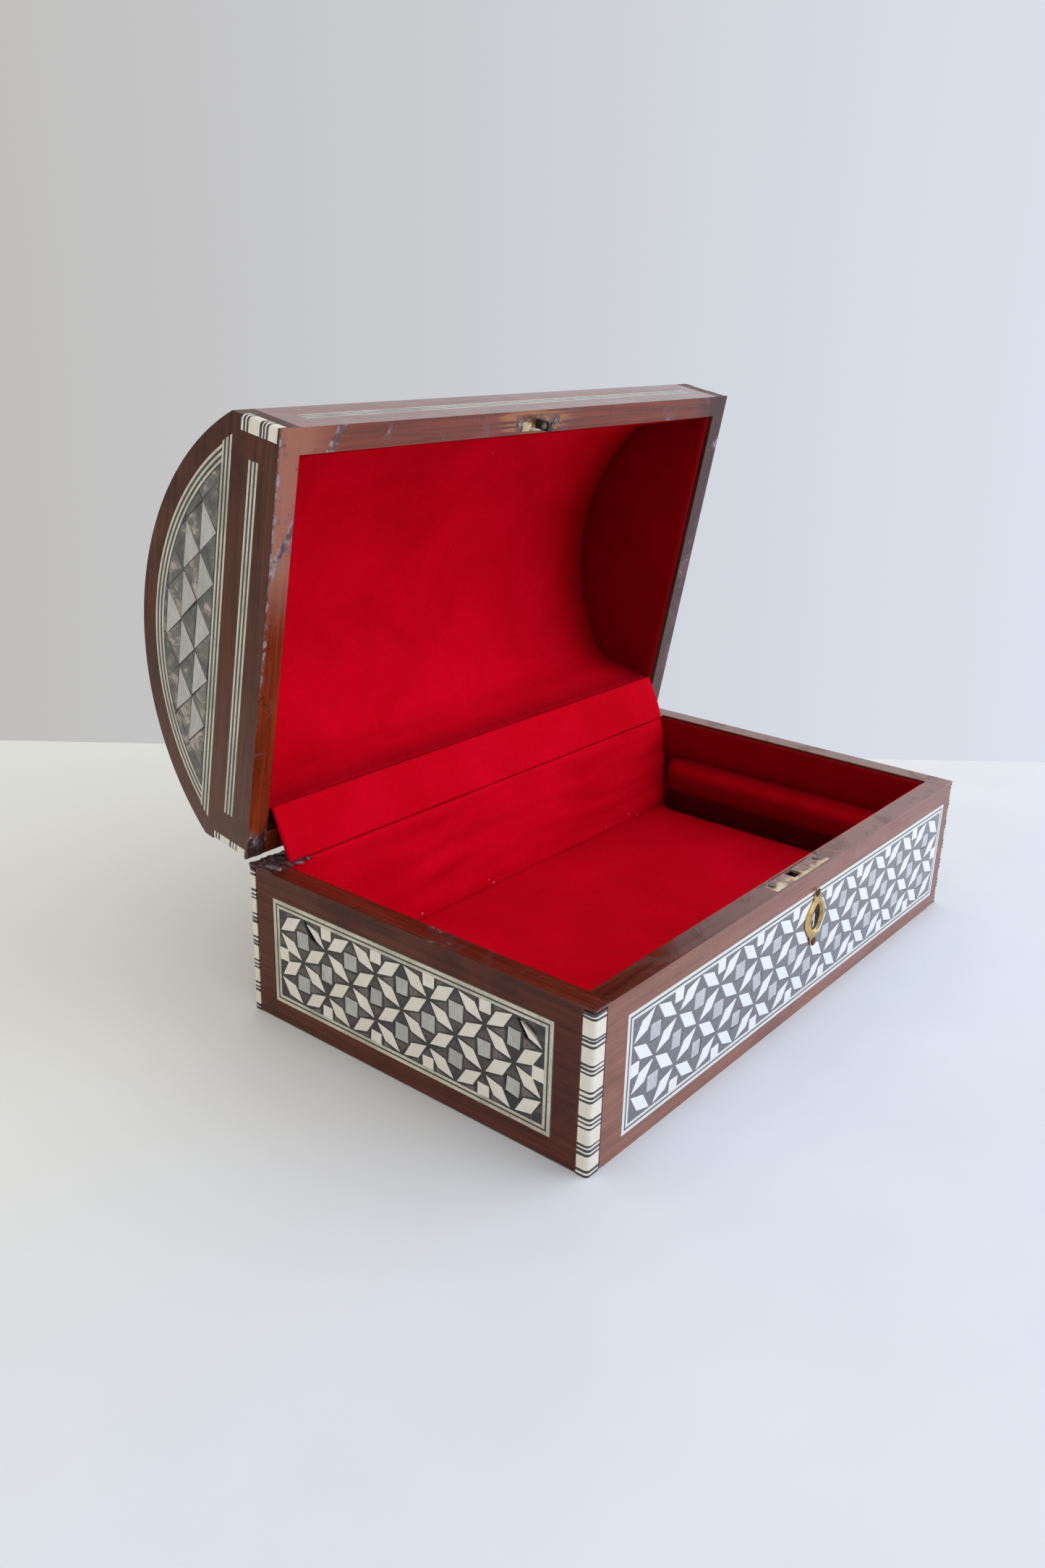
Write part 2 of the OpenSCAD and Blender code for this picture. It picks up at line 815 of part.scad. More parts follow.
// Pierced brass plate, raised round a cup with the keyhole in its floor.
module escutcheon() {
    color("goldenrod") translate([key_x, -hw, key_z]) rotate([90, 0, 0]) difference() {
        union() {
            linear_extrude(esc_plate_t) escutcheon_outline();
            linear_extrude(esc_t, scale = esc_boss_top) oval(esc_boss);
        }
        translate([0, 0, esc_cup_floor]) linear_extrude(esc_t) oval(esc_cup);
        translate([0, 0, -1]) linear_extrude(4) {
            circle(r = key_r, $fn = 32);
            translate([-key_slot_w / 2, -key_slot_l]) square([key_slot_w, key_slot_l]);
        }
        for (s = [-1, 1]) translate([0, s * esc_pin_z, -1])
            cylinder(r = esc_pin_r + 0.02, h = 4, $fn = 32);
    }
}

module escutcheon_pins() {
    color("saddlebrown") translate([key_x, -hw, key_z]) rotate([90, 0, 0])
        for (s = [-1, 1]) translate([0, s * esc_pin_z, 0]) {
            cylinder(r = esc_pin_r, h = esc_plate_t, $fn = 32);
            translate([0, 0, esc_plate_t]) cylinder(r = esc_head_r, h = 0.35, $fn = 32);
        }
}

// Catch: a plate let into the lid's rim, with a tongue that the bolt passes through.
catch_hole_z = bolt_z + bolt_h / 2 - base_h - rim_gap;

module at_nails() {
    for (s = [-1, 1]) translate([slot_x + s * nail_x, catch_y + catch_w / 2, 0]) children();
}

module lid_catch() {
    color("dimgray") on_lid() difference() {
        union() {
            translate([slot_x - catch_l / 2, catch_y, 0]) cube([catch_l, catch_w, catch_t]);
            translate([slot_x - tongue_w / 2, tongue_y, -tongue_l])
                cube([tongue_w, tongue_d, tongue_l + eps]);
        }
        translate([slot_x - 2, tongue_y + tongue_d / 2, catch_hole_z])
            rotate([0, 90, 0]) cylinder(r = catch_hole_r, h = 4, $fn = 32);
        at_nails() translate([0, 0, -1]) cylinder(r = nail_r + 0.02, h = 3);
    }
}

module lid_catch_nails() {
    color("gray") on_lid() at_nails() {
        cylinder(r = nail_r, h = nail_l);
        translate([0, 0, -0.2]) cylinder(r = 2 * nail_r, h = 0.2, $fn = 32);
    }
}

// ---------------------------------------------------------------- hinges

module knuckles(first) {
    step = hinge_l / 5;
    for (s = hinge_sides, k = [first : 2 : 4])
        translate([s * hinge_x - hinge_l / 2 + k * step + fit, hinge_y, hinge_z])
            rotate([0, 90, 0]) cylinder(r = knuckle_r, h = step - 2 * fit);
}

// A flat leaf with its knuckles, up for the lid and down for the base.
module leaves(up) {
    step = hinge_l / 5;
    first = up ? 1 : 0;
    difference() {
        union() {
            for (s = hinge_sides) {
                translate([s * hinge_x - hinge_l / 2, hw - leaf_in, up ? hinge_z + 0.05 : base_h])
                    cube([hinge_l, leaf_in - 1, leaf_t]);
                for (k = [first : 2 : 4])
                    translate([s * hinge_x - hinge_l / 2 + k * step + fit, hw - 1 - eps,
                               up ? hinge_z + 0.05 : base_h])
                        cube([step - 2 * fit, hinge_y - hw + 1, leaf_t]);
            }
            knuckles(first);
        }
        for (s = hinge_sides)
            translate([s * hinge_x - hinge_l, hinge_y, hinge_z]) rotate([0, 90, 0])
                cylinder(r = pin_r + 0.03, h = 2 * hinge_l);
        for (s = hinge_sides, t = hinge_sides)
            translate([s * hinge_x + t * hinge_screw_x, hinge_screw_y, base_h - 1])
                cylinder(r = screw_hole_r, h = 3);
    }
}

module hinge_base_leaves() { color("goldenrod") leaves(false); }
module hinge_lid_leaves() { color("goldenrod") opened() leaves(true); }

module hinge_pins() {
    color("gray") for (s = hinge_sides)
        translate([s * hinge_x - hinge_l / 2, hinge_y, hinge_z]) rotate([0, 90, 0])
            cylinder(r = pin_r, h = hinge_l);
}

// Countersunk screws, flush with the leaves, so that the rims can shut.
module leaf_screws() {
    for (s = hinge_sides, t = hinge_sides)
        translate([s * hinge_x + t * hinge_screw_x, hinge_screw_y, 0]) children();
}

module hinge_base_screws() {
    color("gray") leaf_screws()
        translate([0, 0, base_h + leaf_t - screw_l]) cylinder(r = screw_r, h = screw_l);
}

module hinge_lid_screws() {
    color("gray") opened() leaf_screws()
        translate([0, 0, hinge_z + 0.05]) cylinder(r = screw_r, h = screw_l);
}

// ---------------------------------------------------------------- linings

module base_floor_pad() {
    color("crimson") translate([-in_l + fit, -in_w + fit, bottom_t])
        cube([2 * (in_l - fit), 2 * (in_w - fit), floor_top - bottom_t]);
}

lining_top = base_h - 0.5;
lean = 5;

module base_front_lining() {
    color("crimson") translate([-in_l + card_t + 2 * fit, -in_w + fit, floor_top])
        cube([2 * in_l - 2 * card_t - card_gap - 4 * fit, card_t, lining_top - floor_top]);
}

// The back card leans in at its foot.
module base_back_lining() {
    color("crimson") along_x(-in_l + card_t + 2 * fit,
                             2 * in_l - 2 * card_t - card_gap - 4 * fit)
        polygon([[in_w - fit - card_t - lean, floor_top], [in_w - fit - lean, floor_top],
                 [in_w - fit, lining_top], [in_w - fit - card_t, lining_top]]);
}

module base_left_lining() {
    color("crimson") translate([-in_l + fit, -in_w + fit, floor_top])
        cube([card_t, 2 * (in_w - fit), lining_top - floor_top]);
}

module base_right_lining() {
    color("crimson") translate([in_l - card_gap - card_t, -in_w + fit, floor_top])
        cube([card_t, 2 * (in_w - fit), lining_top - floor_top]);
}

// A padded roll for rings, along the foot of the right lining.
module ring_roll() {
    x1 = in_l - card_gap - card_t - fit;
    y0 = -in_w + card_t + 3 * fit;
    color("darkred") translate([0, y0, 0]) rotate([-90, 0, 0]) mirror([0, 1, 0])
        linear_extrude(2 * in_w - 2 * card_t - lean - 8 * fit - 1) {
            translate([x1 - roll_w, floor_top]) square([roll_w, roll_top - floor_top - roll_w]);
            intersection() {
                translate([x1, roll_top - roll_w]) circle(r = roll_w);
                translate([x1 - roll_w, floor_top]) square([roll_w, roll_top - floor_top]);
            }
        }
}

// Velvet that bridges the hinge, from the base's back card to the lid's lining.
flap_t = 0.8;
lid_foot_in = 5.6;
lid_foot_z = 1.6;
function turn(y, z) = [
    hinge_y + (y - hinge_y) * cos(lid_open) + (z - hinge_z) * sin(lid_open),
    hinge_z - (y - hinge_y) * sin(lid_open) + (z - hinge_z) * cos(lid_open)];
flap_a = [in_w - 0.3, base_h - 0.3];
flap_b = turn(in_w - lid_foot_in - 0.9, base_h + rim_gap + lid_foot_z - 0.6);

flap_x0 = -in_l + card_t + 0.5;
flap_x1 = in_l - card_gap - card_t - 0.4;

module hinge_flap() {
    d = (flap_b - flap_a) / norm(flap_b - flap_a);
    n = [-d[1], d[0]] * flap_t;
    color("crimson") along_x(flap_x0, flap_x1 - flap_x0)
        polygon([flap_a, flap_b, flap_b + n, flap_a + n]);
}

lid_lining_r = barrel_r - barrel_t - fit;

// Curved lining under the barrel; its back edge stands in from the rail.
module lid_lining() {
    color("crimson") on_lid()
        along_x(-in_l + card_t + 2 * fit, 2 * in_l - 2 * card_t - card_gap - 4 * fit)
            difference() {
                lining_shape(0);
                lining_shape(card_t);
            }
}

module lining_shape(inset) {
    intersection() {
        translate([0, barrel_c]) circle(r = lid_lining_r - inset, $fn = arc_fn);
        translate([-in_w + fit + inset, lid_foot_z - (inset > 0 ? 1 : 0)])
            square([2 * in_w - 2 * fit - 2 * inset - lid_foot_in, lid_h]);
    }
}

module end_card(x0) {
    on_lid() along_x(x0, card_t) intersection() {
        translate([0, barrel_c]) circle(r = lid_lining_r, $fn = arc_fn);
        translate([-in_w + fit, 0.8]) square([2 * in_w - 2 * fit, lid_h]);
    }
}

module lid_left_lining() { color("crimson") end_card(-in_l + fit); }
module lid_right_lining() { color("crimson") end_card(in_l - card_gap - card_t); }

// ---------------------------------------------------------------- nodes

base_bottom();
base_front_wall();
base_back_wall();
base_left_wall();
base_right_wall();
base_corner_bone();
base_corner_ebony();
base_front_ground();
base_back_ground();
base_left_ground();
base_right_ground();
base_bone_pieces();
base_pearl_pieces();
base_bone_stringing();
base_ebony_stringing();
lid_left_end();
lid_right_end();
lid_front_rail();
lid_back_rail();
lid_barrel();
lid_corner_bone();
lid_corner_ebony();
lid_left_ground();
lid_right_ground();
lid_barrel_ground();
lid_pearl_triangles();
lid_abalone_triangles();
lid_bone_pieces();
lid_pearl_pieces();
lid_bone_stringing();
lid_ebony_stringing();
lock_case();
lock_plate();
lock_bolt();
lock_screws();
lock_key_pin();
escutcheon();
escutcheon_pins();
lid_catch();
lid_catch_nails();
hinge_base_leaves();
hinge_lid_leaves();
hinge_pins();
hinge_base_screws();
hinge_lid_screws();
base_floor_pad();
base_front_lining();
base_back_lining();
base_left_lining();
base_right_lining();
ring_roll();
hinge_flap();
lid_lining();
lid_left_lining();
lid_right_lining();
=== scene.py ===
"""Looks for an inlaid wooden box: veneered boards, bone and pearl inlay, a lock, hinges and velvet.

Lengths are in millimetres until a mesh is made. Lid pieces are drawn with the lid shut and its
rim at z = 0, and TO_LID turns them to where the lid stands open.
"""

import itertools
import json
import math
import random

import bmesh
import bpy
from mathutils import Matrix, Vector, noise


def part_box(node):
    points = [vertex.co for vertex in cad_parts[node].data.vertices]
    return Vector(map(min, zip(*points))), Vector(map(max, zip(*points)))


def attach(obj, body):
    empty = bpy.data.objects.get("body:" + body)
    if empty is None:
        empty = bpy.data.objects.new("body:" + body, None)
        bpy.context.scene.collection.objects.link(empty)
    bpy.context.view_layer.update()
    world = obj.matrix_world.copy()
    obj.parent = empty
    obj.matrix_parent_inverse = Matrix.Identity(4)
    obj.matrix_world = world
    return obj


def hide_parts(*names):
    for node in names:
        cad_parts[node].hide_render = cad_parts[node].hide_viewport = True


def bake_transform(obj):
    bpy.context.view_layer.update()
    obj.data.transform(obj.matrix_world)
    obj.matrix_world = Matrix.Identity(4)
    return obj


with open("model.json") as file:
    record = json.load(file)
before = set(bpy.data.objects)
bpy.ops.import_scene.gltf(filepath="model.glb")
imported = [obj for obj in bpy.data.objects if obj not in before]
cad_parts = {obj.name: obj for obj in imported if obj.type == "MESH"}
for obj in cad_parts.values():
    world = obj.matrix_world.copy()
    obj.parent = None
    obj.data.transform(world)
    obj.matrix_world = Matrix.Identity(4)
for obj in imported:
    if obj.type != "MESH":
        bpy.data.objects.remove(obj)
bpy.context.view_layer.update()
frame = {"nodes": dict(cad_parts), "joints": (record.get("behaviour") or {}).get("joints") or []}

# --- sizes, from the frame

MM = 0.001


def node_box(name):
    low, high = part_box(name)
    return low / MM, high / MM


HINGE_JOINT = next(j for j in frame["joints"] if j["name"] == "lid_hinge")
HINGE = Vector(HINGE_JOINT["pos_m"]) / MM
OPEN = math.radians(-HINGE_JOINT["range_deg"][0])
wall_low, wall_high = node_box("base_left_wall")
HL = -wall_low.x
HW = -wall_low.y
BASE_H = wall_high.z
WALL = wall_high.x - wall_low.x
IN_L = HL - WALL
IN_W = HW - WALL
RIM_GAP = 2 * (HINGE.z - BASE_H)
LID_Z = BASE_H + RIM_GAP
LID_H = 48.5
BARREL_R, BARREL_T = 70, 5.5
BARREL_C = LID_H - BARREL_R
FIT = 0.05
UNDER_BARREL = BARREL_R - BARREL_T - FIT
CARD_T = 1.2

TO_LID = (
    Matrix.Translation(HINGE)
    @ Matrix.Rotation(-OPEN, 4, "X")
    @ Matrix.Translation(-HINGE)
    @ Matrix.Translation((0, 0, LID_Z))
)

# --- making meshes


def linked(name, data):
    made = bpy.data.objects.new(name, data)
    bpy.context.scene.collection.objects.link(made)
    return made


def piece(name, verts, faces, look, body, nodes=(), smooth=False, lid=False):
    """A mesh from points in millimetres, which rides on a body and may stand for CAD nodes."""
    mesh = bpy.data.meshes.new(name)
    placed = [TO_LID @ Vector(v) if lid else Vector(v) for v in verts]
    mesh.from_pydata([v * MM for v in placed], [], faces)
    bm = bmesh.new()
    bm.from_mesh(mesh)
    bmesh.ops.recalc_face_normals(bm, faces=bm.faces)
    for face in bm.faces:
        face.smooth = smooth
    bm.to_mesh(mesh)
    bm.free()
    mesh.materials.append(look)
    made = linked(name, mesh)
    if body:
        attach(made, body)
    if nodes:
        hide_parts(*nodes)
    return made


def tube_faces(start, n, steps):
    """Quads between rings of n points that follow one another from a first point."""
    return [
        (start + ring * n + k, start + ring * n + (k + 1) % n,
         start + (ring + 1) * n + (k + 1) % n, start + (ring + 1) * n + k)
        for ring in range(steps) for k in range(n)
    ]


def end_faces(start, n, last):
    """The faces that close a tube, by the first point of its first and of its last ring."""
    return [tuple(range(last, last + n)), tuple(range(start + n - 1, start - 1, -1))]


def slab_faces(nu, nv):
    """Two grids of nu by nv points, top and bottom, and the quads round their edge."""
    faces, half = [], nu * nv
    for a in (k * nu + i for k in range(nv - 1) for i in range(nu - 1)):
        faces.append((a, a + 1, a + nu + 1, a + nu))
        faces.append((half + a, half + a + nu, half + a + nu + 1, half + a + 1))
    rim = list(range(nu)) + [k * nu + nu - 1 for k in range(1, nv)]
    rim += [(nv - 1) * nu + i for i in range(nu - 2, -1, -1)]
    rim += [k * nu for k in range(nv - 2, 0, -1)]
    return faces + [(rim[k - 1], a, a + half, rim[k - 1] + half) for k, a in enumerate(rim)]


def set_tones(made, tones):
    """Stores one tone a vertex, which the materials read to vary from piece to piece."""
    attribute = made.data.attributes.new("tone", "FLOAT", "POINT")
    attribute.data.foreach_set("value", tones)


# --- flat outlines


def clipped(outline, region):
    """A convex outline cut to a convex region, whose corners run anticlockwise."""
    for j, end in enumerate(region):
        start = region[j - 1]
        along = (end[0] - start[0], end[1] - start[1])
        kept = []

        def inside(p):
            return along[0] * (p[1] - start[1]) - along[1] * (p[0] - start[0])

        for k, here in enumerate(outline):
            before = outline[k - 1]
            now, was = inside(here), inside(before)
            if (now >= 0) != (was >= 0):
                t = was / (was - now)
                kept.append(tuple(b + t * (h - b) for b, h in zip(before, here)))
            if now >= 0:
                kept.append(here)
        outline = kept
    return outline


def rectangle(centre, size):
    (x, y), (w, h) = centre, (size[0] / 2, size[1] / 2)
    return [(x - w, y - h), (x + w, y - h), (x + w, y + h), (x - w, y + h)]


def area(outline):
    """Of a flat outline, and below zero where it runs clockwise."""
    pairs = [(outline[k - 1], p) for k, p in enumerate(outline)]
    return sum(a[0] * b[1] - b[0] * a[1] for a, b in pairs) / 2


def inset(outline, by):
    """A convex outline with every side moved in."""
    if area(outline) < 0:
        outline = outline[::-1]
    sides = []
    for k, here in enumerate(outline):
        start = Vector(outline[k - 1])
        along = (Vector(here) - start).normalized()
        sides.append((start + Vector((-along.y, along.x)) * by, along))
    made = []
    for k, (start, along) in enumerate(sides):
        other, way = sides[(k + 1) % len(sides)]
        cross = along.x * way.y - along.y * way.x
        if abs(cross) < 1e-6:
            made.append(tuple(other))
            continue
        gap = other - start
        t = (gap.x * way.y - gap.y * way.x) / cross
        made.append(tuple(start + along * t))
    return made


def turned(outline, angle, centre):
    (cx, cy), c, s = centre, math.cos(angle), math.sin(angle)
    return [
        (cx + (x - cx) * c - (y - cy) * s, cy + (x - cx) * s + (y - cy) * c) for x, y in outline
    ]


class Pieces:
    """Small inlaid pieces on a surface, gathered into one mesh with a tone for each."""

    def __init__(self, seed):
        self.verts, self.faces, self.tones = [], [], []
        self.rng = random.Random(seed)

    def worked(self, outline, slip=0.12, turn=1.5):
        """The outline as a hand cuts and sets it: each corner a little off, the whole turned."""
        centre = [sum(p[k] for p in outline) / len(outline) for k in (0, 1)]
        moved = turned(outline, math.radians(self.rng.gauss(0, turn)), centre)
        return [(x + self.rng.gauss(0, slip), y + self.rng.gauss(0, slip)) for x, y in moved]

    def add(self, surface, outline, proud=0.05, deep=0.9, bevel=0.12, tone=None):
        if len(outline) < 3 or abs(area(outline)) < 0.3:
            return
        if area(outline) < 0:
            outline = outline[::-1]
        first, n = len(self.verts), len(outline)
        top = inset(outline, bevel)
        self.verts += [surface(u, v, deep) for u, v in outline]
        self.verts += [surface(u, v, bevel - proud) for u, v in outline]
        # the top ring of an inset outline starts one side later
        top = top[-1:] + top[:-1]
        self.verts += [surface(u, v, -proud) for u, v in top]
        self.faces += tube_faces(first, n, 2) + end_faces(first, n, first + 2 * n)
        self.tones += [self.rng.random() if tone is None else tone] * (3 * n)

    def made(self, name, look, body, slot, nodes, lid=False):
        thing = piece(name, self.verts, self.faces, look, body, nodes, lid=lid)
        set_tones(thing, self.tones)
        return thing


# --- surfaces of the box


def front(u, v, depth):
    return (u, -HW + depth, v)


def back(u, v, depth):
    return (u, HW - depth, v)


def left(u, v, depth):
    return (-HL + depth, u, v)


def right(u, v, depth):
    return (HL - depth, u, v)


def barrel(u, v, depth):
    """Along the lid and round it, from the top."""
    turn = v / BARREL_R
    r = BARREL_R - depth
    return (u, r * math.sin(turn), BARREL_C + r * math.cos(turn))


# --- materials


def colour_ramp(tree, value, stops):
    made = tree.nodes.new("ShaderNodeValToRGB")
    marks = made.color_ramp.elements
    while len(marks) < len(stops):
        marks.new(0.5)
    for mark, (at, colour) in zip(marks, stops):
        mark.position, mark.color = at, (*colour, 1)
    tree.links.new(value, made.inputs[0])
    return made.outputs[0]


class Look:
    """A Principled material and the nodes that feed it."""

    def __init__(self, name, finish):
        self.material = bpy.data.materials.new(name)
        self.material.use_nodes = True
        self.tree = self.material.node_tree
        self.shader = self.tree.nodes["Principled BSDF"]
        self.feed(self.shader, finish)

    def feed(self, target, inputs):
        for key, value in inputs.items():
            if isinstance(value, bpy.types.NodeSocket):
                self.tree.links.new(value, target.inputs[key])
            else:
                target.inputs[key].default_value = value

    def add(self, kind, inputs=None, out=0, **settings):
        made = self.tree.nodes.new("ShaderNode" + kind)
        for key, value in settings.items():
            setattr(made, key, value)
        self.feed(made, inputs or {})
        return made.outputs[out]

    def coord(self, axis, spot):
        return self.add("SeparateXYZ", {0: spot}, out=axis)

    def place(self, lid=False, scale=(1, 1, 1)):
        """Millimetres in the frame, or in the shut lid's own frame with its rim at z = 0."""
        spot = self.add("TexCoord", out=3)
        if lid:
            back_turn = Matrix.Rotation(OPEN, 4, "X")
            home = Vector((HINGE.x, HINGE.y, HINGE.z - LID_Z)) - back_turn @ HINGE
            spot = self.add("Mapping", {"Vector": spot, "Location": home,
                                        "Rotation": (OPEN, 0, 0), "Scale": (1 / MM,) * 3})
        else:
            spot = self.add("Mapping", {"Vector": spot, "Scale": (1 / MM,) * 3})
        if tuple(scale) == (1, 1, 1):
            return spot
        return self.add("Mapping", {"Vector": spot, "Scale": scale})

    def noise(self, spot, scale, detail=4, rough=0.55, distortion=0.0):
        return self.add("TexNoise", {"Vector": spot, "Scale": scale, "Detail": detail,
                                     "Roughness": rough, "Distortion": distortion})

    def ramp(self, value, *stops):
        return colour_ramp(self.tree, value, stops)

    def maths(self, kind, a, b=0.0):
        return self.add("Math", {0: a, 1: b}, operation=kind)

    def plus(self, a, b):
        return self.maths("ADD", a, b)

    def times(self, a, b):
        return self.maths("MULTIPLY", a, b)

    def span(self, value, low, high, to_low=0.0, to_high=1.0):
        return self.add("MapRange", {0: value, 1: low, 2: high, 3: to_low, 4: to_high}, clamp=True)

    def tint(self, colour, value, low, high, share, tone):
        """The colour with a tone laid over it where the value goes from low to high."""
        return self.mix(self.span(value, low, high, 0, share), colour, tone)

    def mix(self, share, a, b, blend="MIX"):
        made = self.tree.nodes.new("ShaderNodeMix")
        made.data_type = "RGBA"
        made.blend_type = blend
        for key, value in ((0, share), (6, a), (7, b)):
            if isinstance(value, bpy.types.NodeSocket):
                self.tree.links.new(value, made.inputs[key])
            elif key and len(value) == 3:
                made.inputs[key].default_value = (*value, 1)
            else:
                made.inputs[key].default_value = value
        return made.outputs[2]

    def tone(self):
        return self.add("Attribute", out=2, attribute_type="GEOMETRY", attribute_name="tone")

    def bump(self, height, strength, distance):
        return self.add("Bump", {"Height": height, "Strength": strength, "Distance": distance})

    def finish(self, **inputs):
        self.feed(self.shader, {key.replace("_", " "): value for key, value in inputs.items()})
        return self.material


GRAIN = {"x": (0.035, 1, 1), "y": (1, 0.035, 1)}
WOOD = ((0.036, 0.007, 0.004), (0.16, 0.038, 0.022))
# The front's wood is lighter and redder than the rest: painted light, for the window light on the
# front.
FRONT_WOOD_PAINTED_LIGHT = ((0.16, 0.048, 0.027), (0.35, 0.125, 0.08))
END_WOOD = ((0.03, 0.0085, 0.0045), (0.16, 0.047, 0.026))


def wood_look(name, grain, lid, tones, gloss, dust=None):
    """Lacquered reddish-brown wood: streaks and pores along the grain, and a cloudy finish.

    Dust may gather from one place to another along y."""
    dark, light = tones
    look = Look(name, {"Specular IOR Level": 0.16, "Coat Weight": gloss, "Coat Roughness": 0.16})
    spot = look.place(lid, GRAIN[grain])
    streak = look.noise(spot, 0.55, 6, 0.62, 0.25)
    middle = tuple((a + b) / 2 for a, b in zip(dark, light))
    colour = look.ramp(streak, (0.25, dark), (0.5, middle), (0.8, light))
    pores = look.noise(look.place(lid, tuple(3 * s for s in GRAIN[grain])), 2.1, 3, 0.7)
    colour = look.tint(colour, pores, 0.56, 0.7, 0.55, (0.014, 0.005, 0.004))
    cloud = look.noise(look.place(lid), 0.035, 5, 0.6, 0.5)
    hazed = tuple(0.35 * a + 0.65 * b + 0.02 for a, b in zip(dark, light))
    colour = look.tint(colour, cloud, 0.5, 0.72, 0.4, hazed)
    colour = look.tint(colour, cloud, 0.46, 0.3, 0.6, dark)
    if dust:
        along = look.coord(1, look.place(lid))
        colour = look.tint(colour, along, *dust, 0.5, (0.15, 0.1, 0.08))
    rough = look.span(look.noise(look.place(lid), 0.12, 4), 0.3, 0.7, 0.3, 0.5)
    bump = look.bump(look.mix(0.5, pores, streak), 0.12, 0.0002)
    return look.finish(Base_Color=colour, Roughness=rough, Normal=bump)


RIM_TONES = {
    False: ((0.3, (0.045, 0.008, 0.004)), (0.75, (0.15, 0.03, 0.014))),
    True: ((0.3, (0.1, 0.014, 0.004)), (0.75, (0.28, 0.05, 0.014))),
}
RUBBED, DARKENED, AMBER = (0.43, 0.17, 0.105), (0.035, 0.008, 0.007), (0.4, 0.15, 0.045)
PLY = (0.42, (0.3, 0.25, 0.26)), (0.5, (0.14, 0.085, 0.1)), (0.6, (0.05, 0.022, 0.022))


def lid_rim_wear(look, colour, streak, across):
    """Bare wood toward the front of the left rim, which is torn across and along its outer
    edge; a dark right rim; and wood gone amber near the catch."""
    along = look.coord(1, look.place(True))
    rubbed = look.times(look.span(along, -4, -24, 0, 0.6), look.span(across, -80, -92))
    colour = look.mix(rubbed, colour, RUBBED)
    colour = look.tint(colour, across, 80, 92, 0.85, DARKENED)
    near_catch = look.span(look.maths("ABSOLUTE", look.plus(across, 4)), 10, 24, 0.14, -0.2)
    amber = look.span(look.plus(near_catch, streak), 0.54, 0.64, 0, 0.75)
    colour = look.mix(look.times(amber, look.span(along, -40, -50)), colour, AMBER)
    frayed = look.noise(look.place(True), 0.32, 4, 0.6)
    tear = look.maths("ABSOLUTE", look.plus(look.times(along, 0.55), look.plus(across, HL + 12.1)))
    tear = look.plus(tear, look.times(frayed, 3.2))
    strip = look.plus(look.plus(across, HL), look.times(frayed, 3.0))
    strip = look.plus(strip, look.span(along, 0, 45, 0, 2.5))
    torn = look.maths("MAXIMUM", look.span(tear, 3.0, 2.7), look.span(strip, 2.3, 2.0))
    return look.mix(look.times(torn, 0.9), colour, look.ramp(frayed, *PLY))


def rim_look(name, grain, lid=False):
    """The solid wood of the rims under thick glossy varnish, rubbed, chipped and stained.

    The base's rims are lighter toward the right."""
    look = Look(name, {"Specular IOR Level": 0.22, "Coat Roughness": 0.08,
                       "Coat Weight": 0.36 if lid else 0.28})
    streak = look.noise(look.place(lid, GRAIN[grain]), 0.7, 5, 0.6, 0.3)
    colour = look.ramp(streak, *RIM_TONES[lid])
    worn = look.noise(look.place(lid), 0.085, 6, 0.62, 0.6)
    across = look.coord(0, look.place(lid))
    if lid:
        bared, scuffed, shares = (0.15, 0.08, 0.085), (0.4, 0.33, 0.33), (0.6, 0.8, 0.7)
        colour = lid_rim_wear(look, colour, streak, across)
    else:
        bared, scuffed, shares = (0.075, 0.032, 0.03), (0.26, 0.18, 0.17), (0.3, 0.5, 0.4)
        colour = look.tint(colour, across, -66, 5, 0.8, (0.28, 0.15, 0.12))
    colour = look.tint(colour, worn, 0.56, 0.6, shares[0], bared)
    colour = look.tint(colour, worn, 0.65, 0.68, shares[1], scuffed)
    stain = look.noise(look.place(lid), 0.3, 5, 0.7)
    colour = look.tint(colour, stain, 0.6, 0.68, shares[2], (0.02, 0.006, 0.005))
    rough = look.span(worn, 0.5, 0.62, 0.15, 0.5)
    return look.finish(Base_Color=colour, Roughness=rough, Normal=look.bump(worn, 0.4, 0.0004))


def splinter_look(lid=False):
    """Broken wood and old varnish where the hinge side has been knocked; the palest flecks are
    partly bare wood and partly painted glints.
    """
    name = "splinters_lid" if lid else "splinters_base"
    look = Look(name, {"Coat Weight": 0.35, "Coat Roughness": 0.12})
    grain = look.noise(look.place(lid, (1, 0.4, 1)), 0.45, 6, 0.7, 0.4)
    # the palest stop is partly painted glints on the broken wood
    colour = look.ramp(grain, (0.32, (0.01, 0.003, 0.003)), (0.5, (0.05, 0.015, 0.014)),
                       (0.6, (0.13, 0.09, 0.1)), (0.68, (0.5, 0.46, 0.48)))
    return look.finish(Base_Color=colour, Roughness=0.45, Normal=look.bump(grain, 0.6, 0.0006))


def bone_look(name="bone", pale=(0.88, 0.85, 0.77), yellow=(0.74, 0.68, 0.56)):
    look = Look(name, {"Roughness": 0.32, "Coat Weight": 0.8, "Coat Roughness": 0.12})
    spot = look.place()
    haze = look.noise(spot, 0.35, 4, 0.6)
    middle = tuple(0.35 * a + 0.65 * b for a, b in zip(pale, yellow))
    colour = look.ramp(haze, (0.3, middle), (0.7, pale))
    colour = look.tint(colour, look.tone(), 0, 1, 0.45, yellow)
    pits = look.noise(spot, 2.6, 2, 0.5)
    colour = look.tint(colour, pits, 0.66, 0.74, 0.5, (0.3, 0.22, 0.15))
    return look.finish(Base_Color=colour, Normal=look.bump(haze, 0.1, 0.0002))


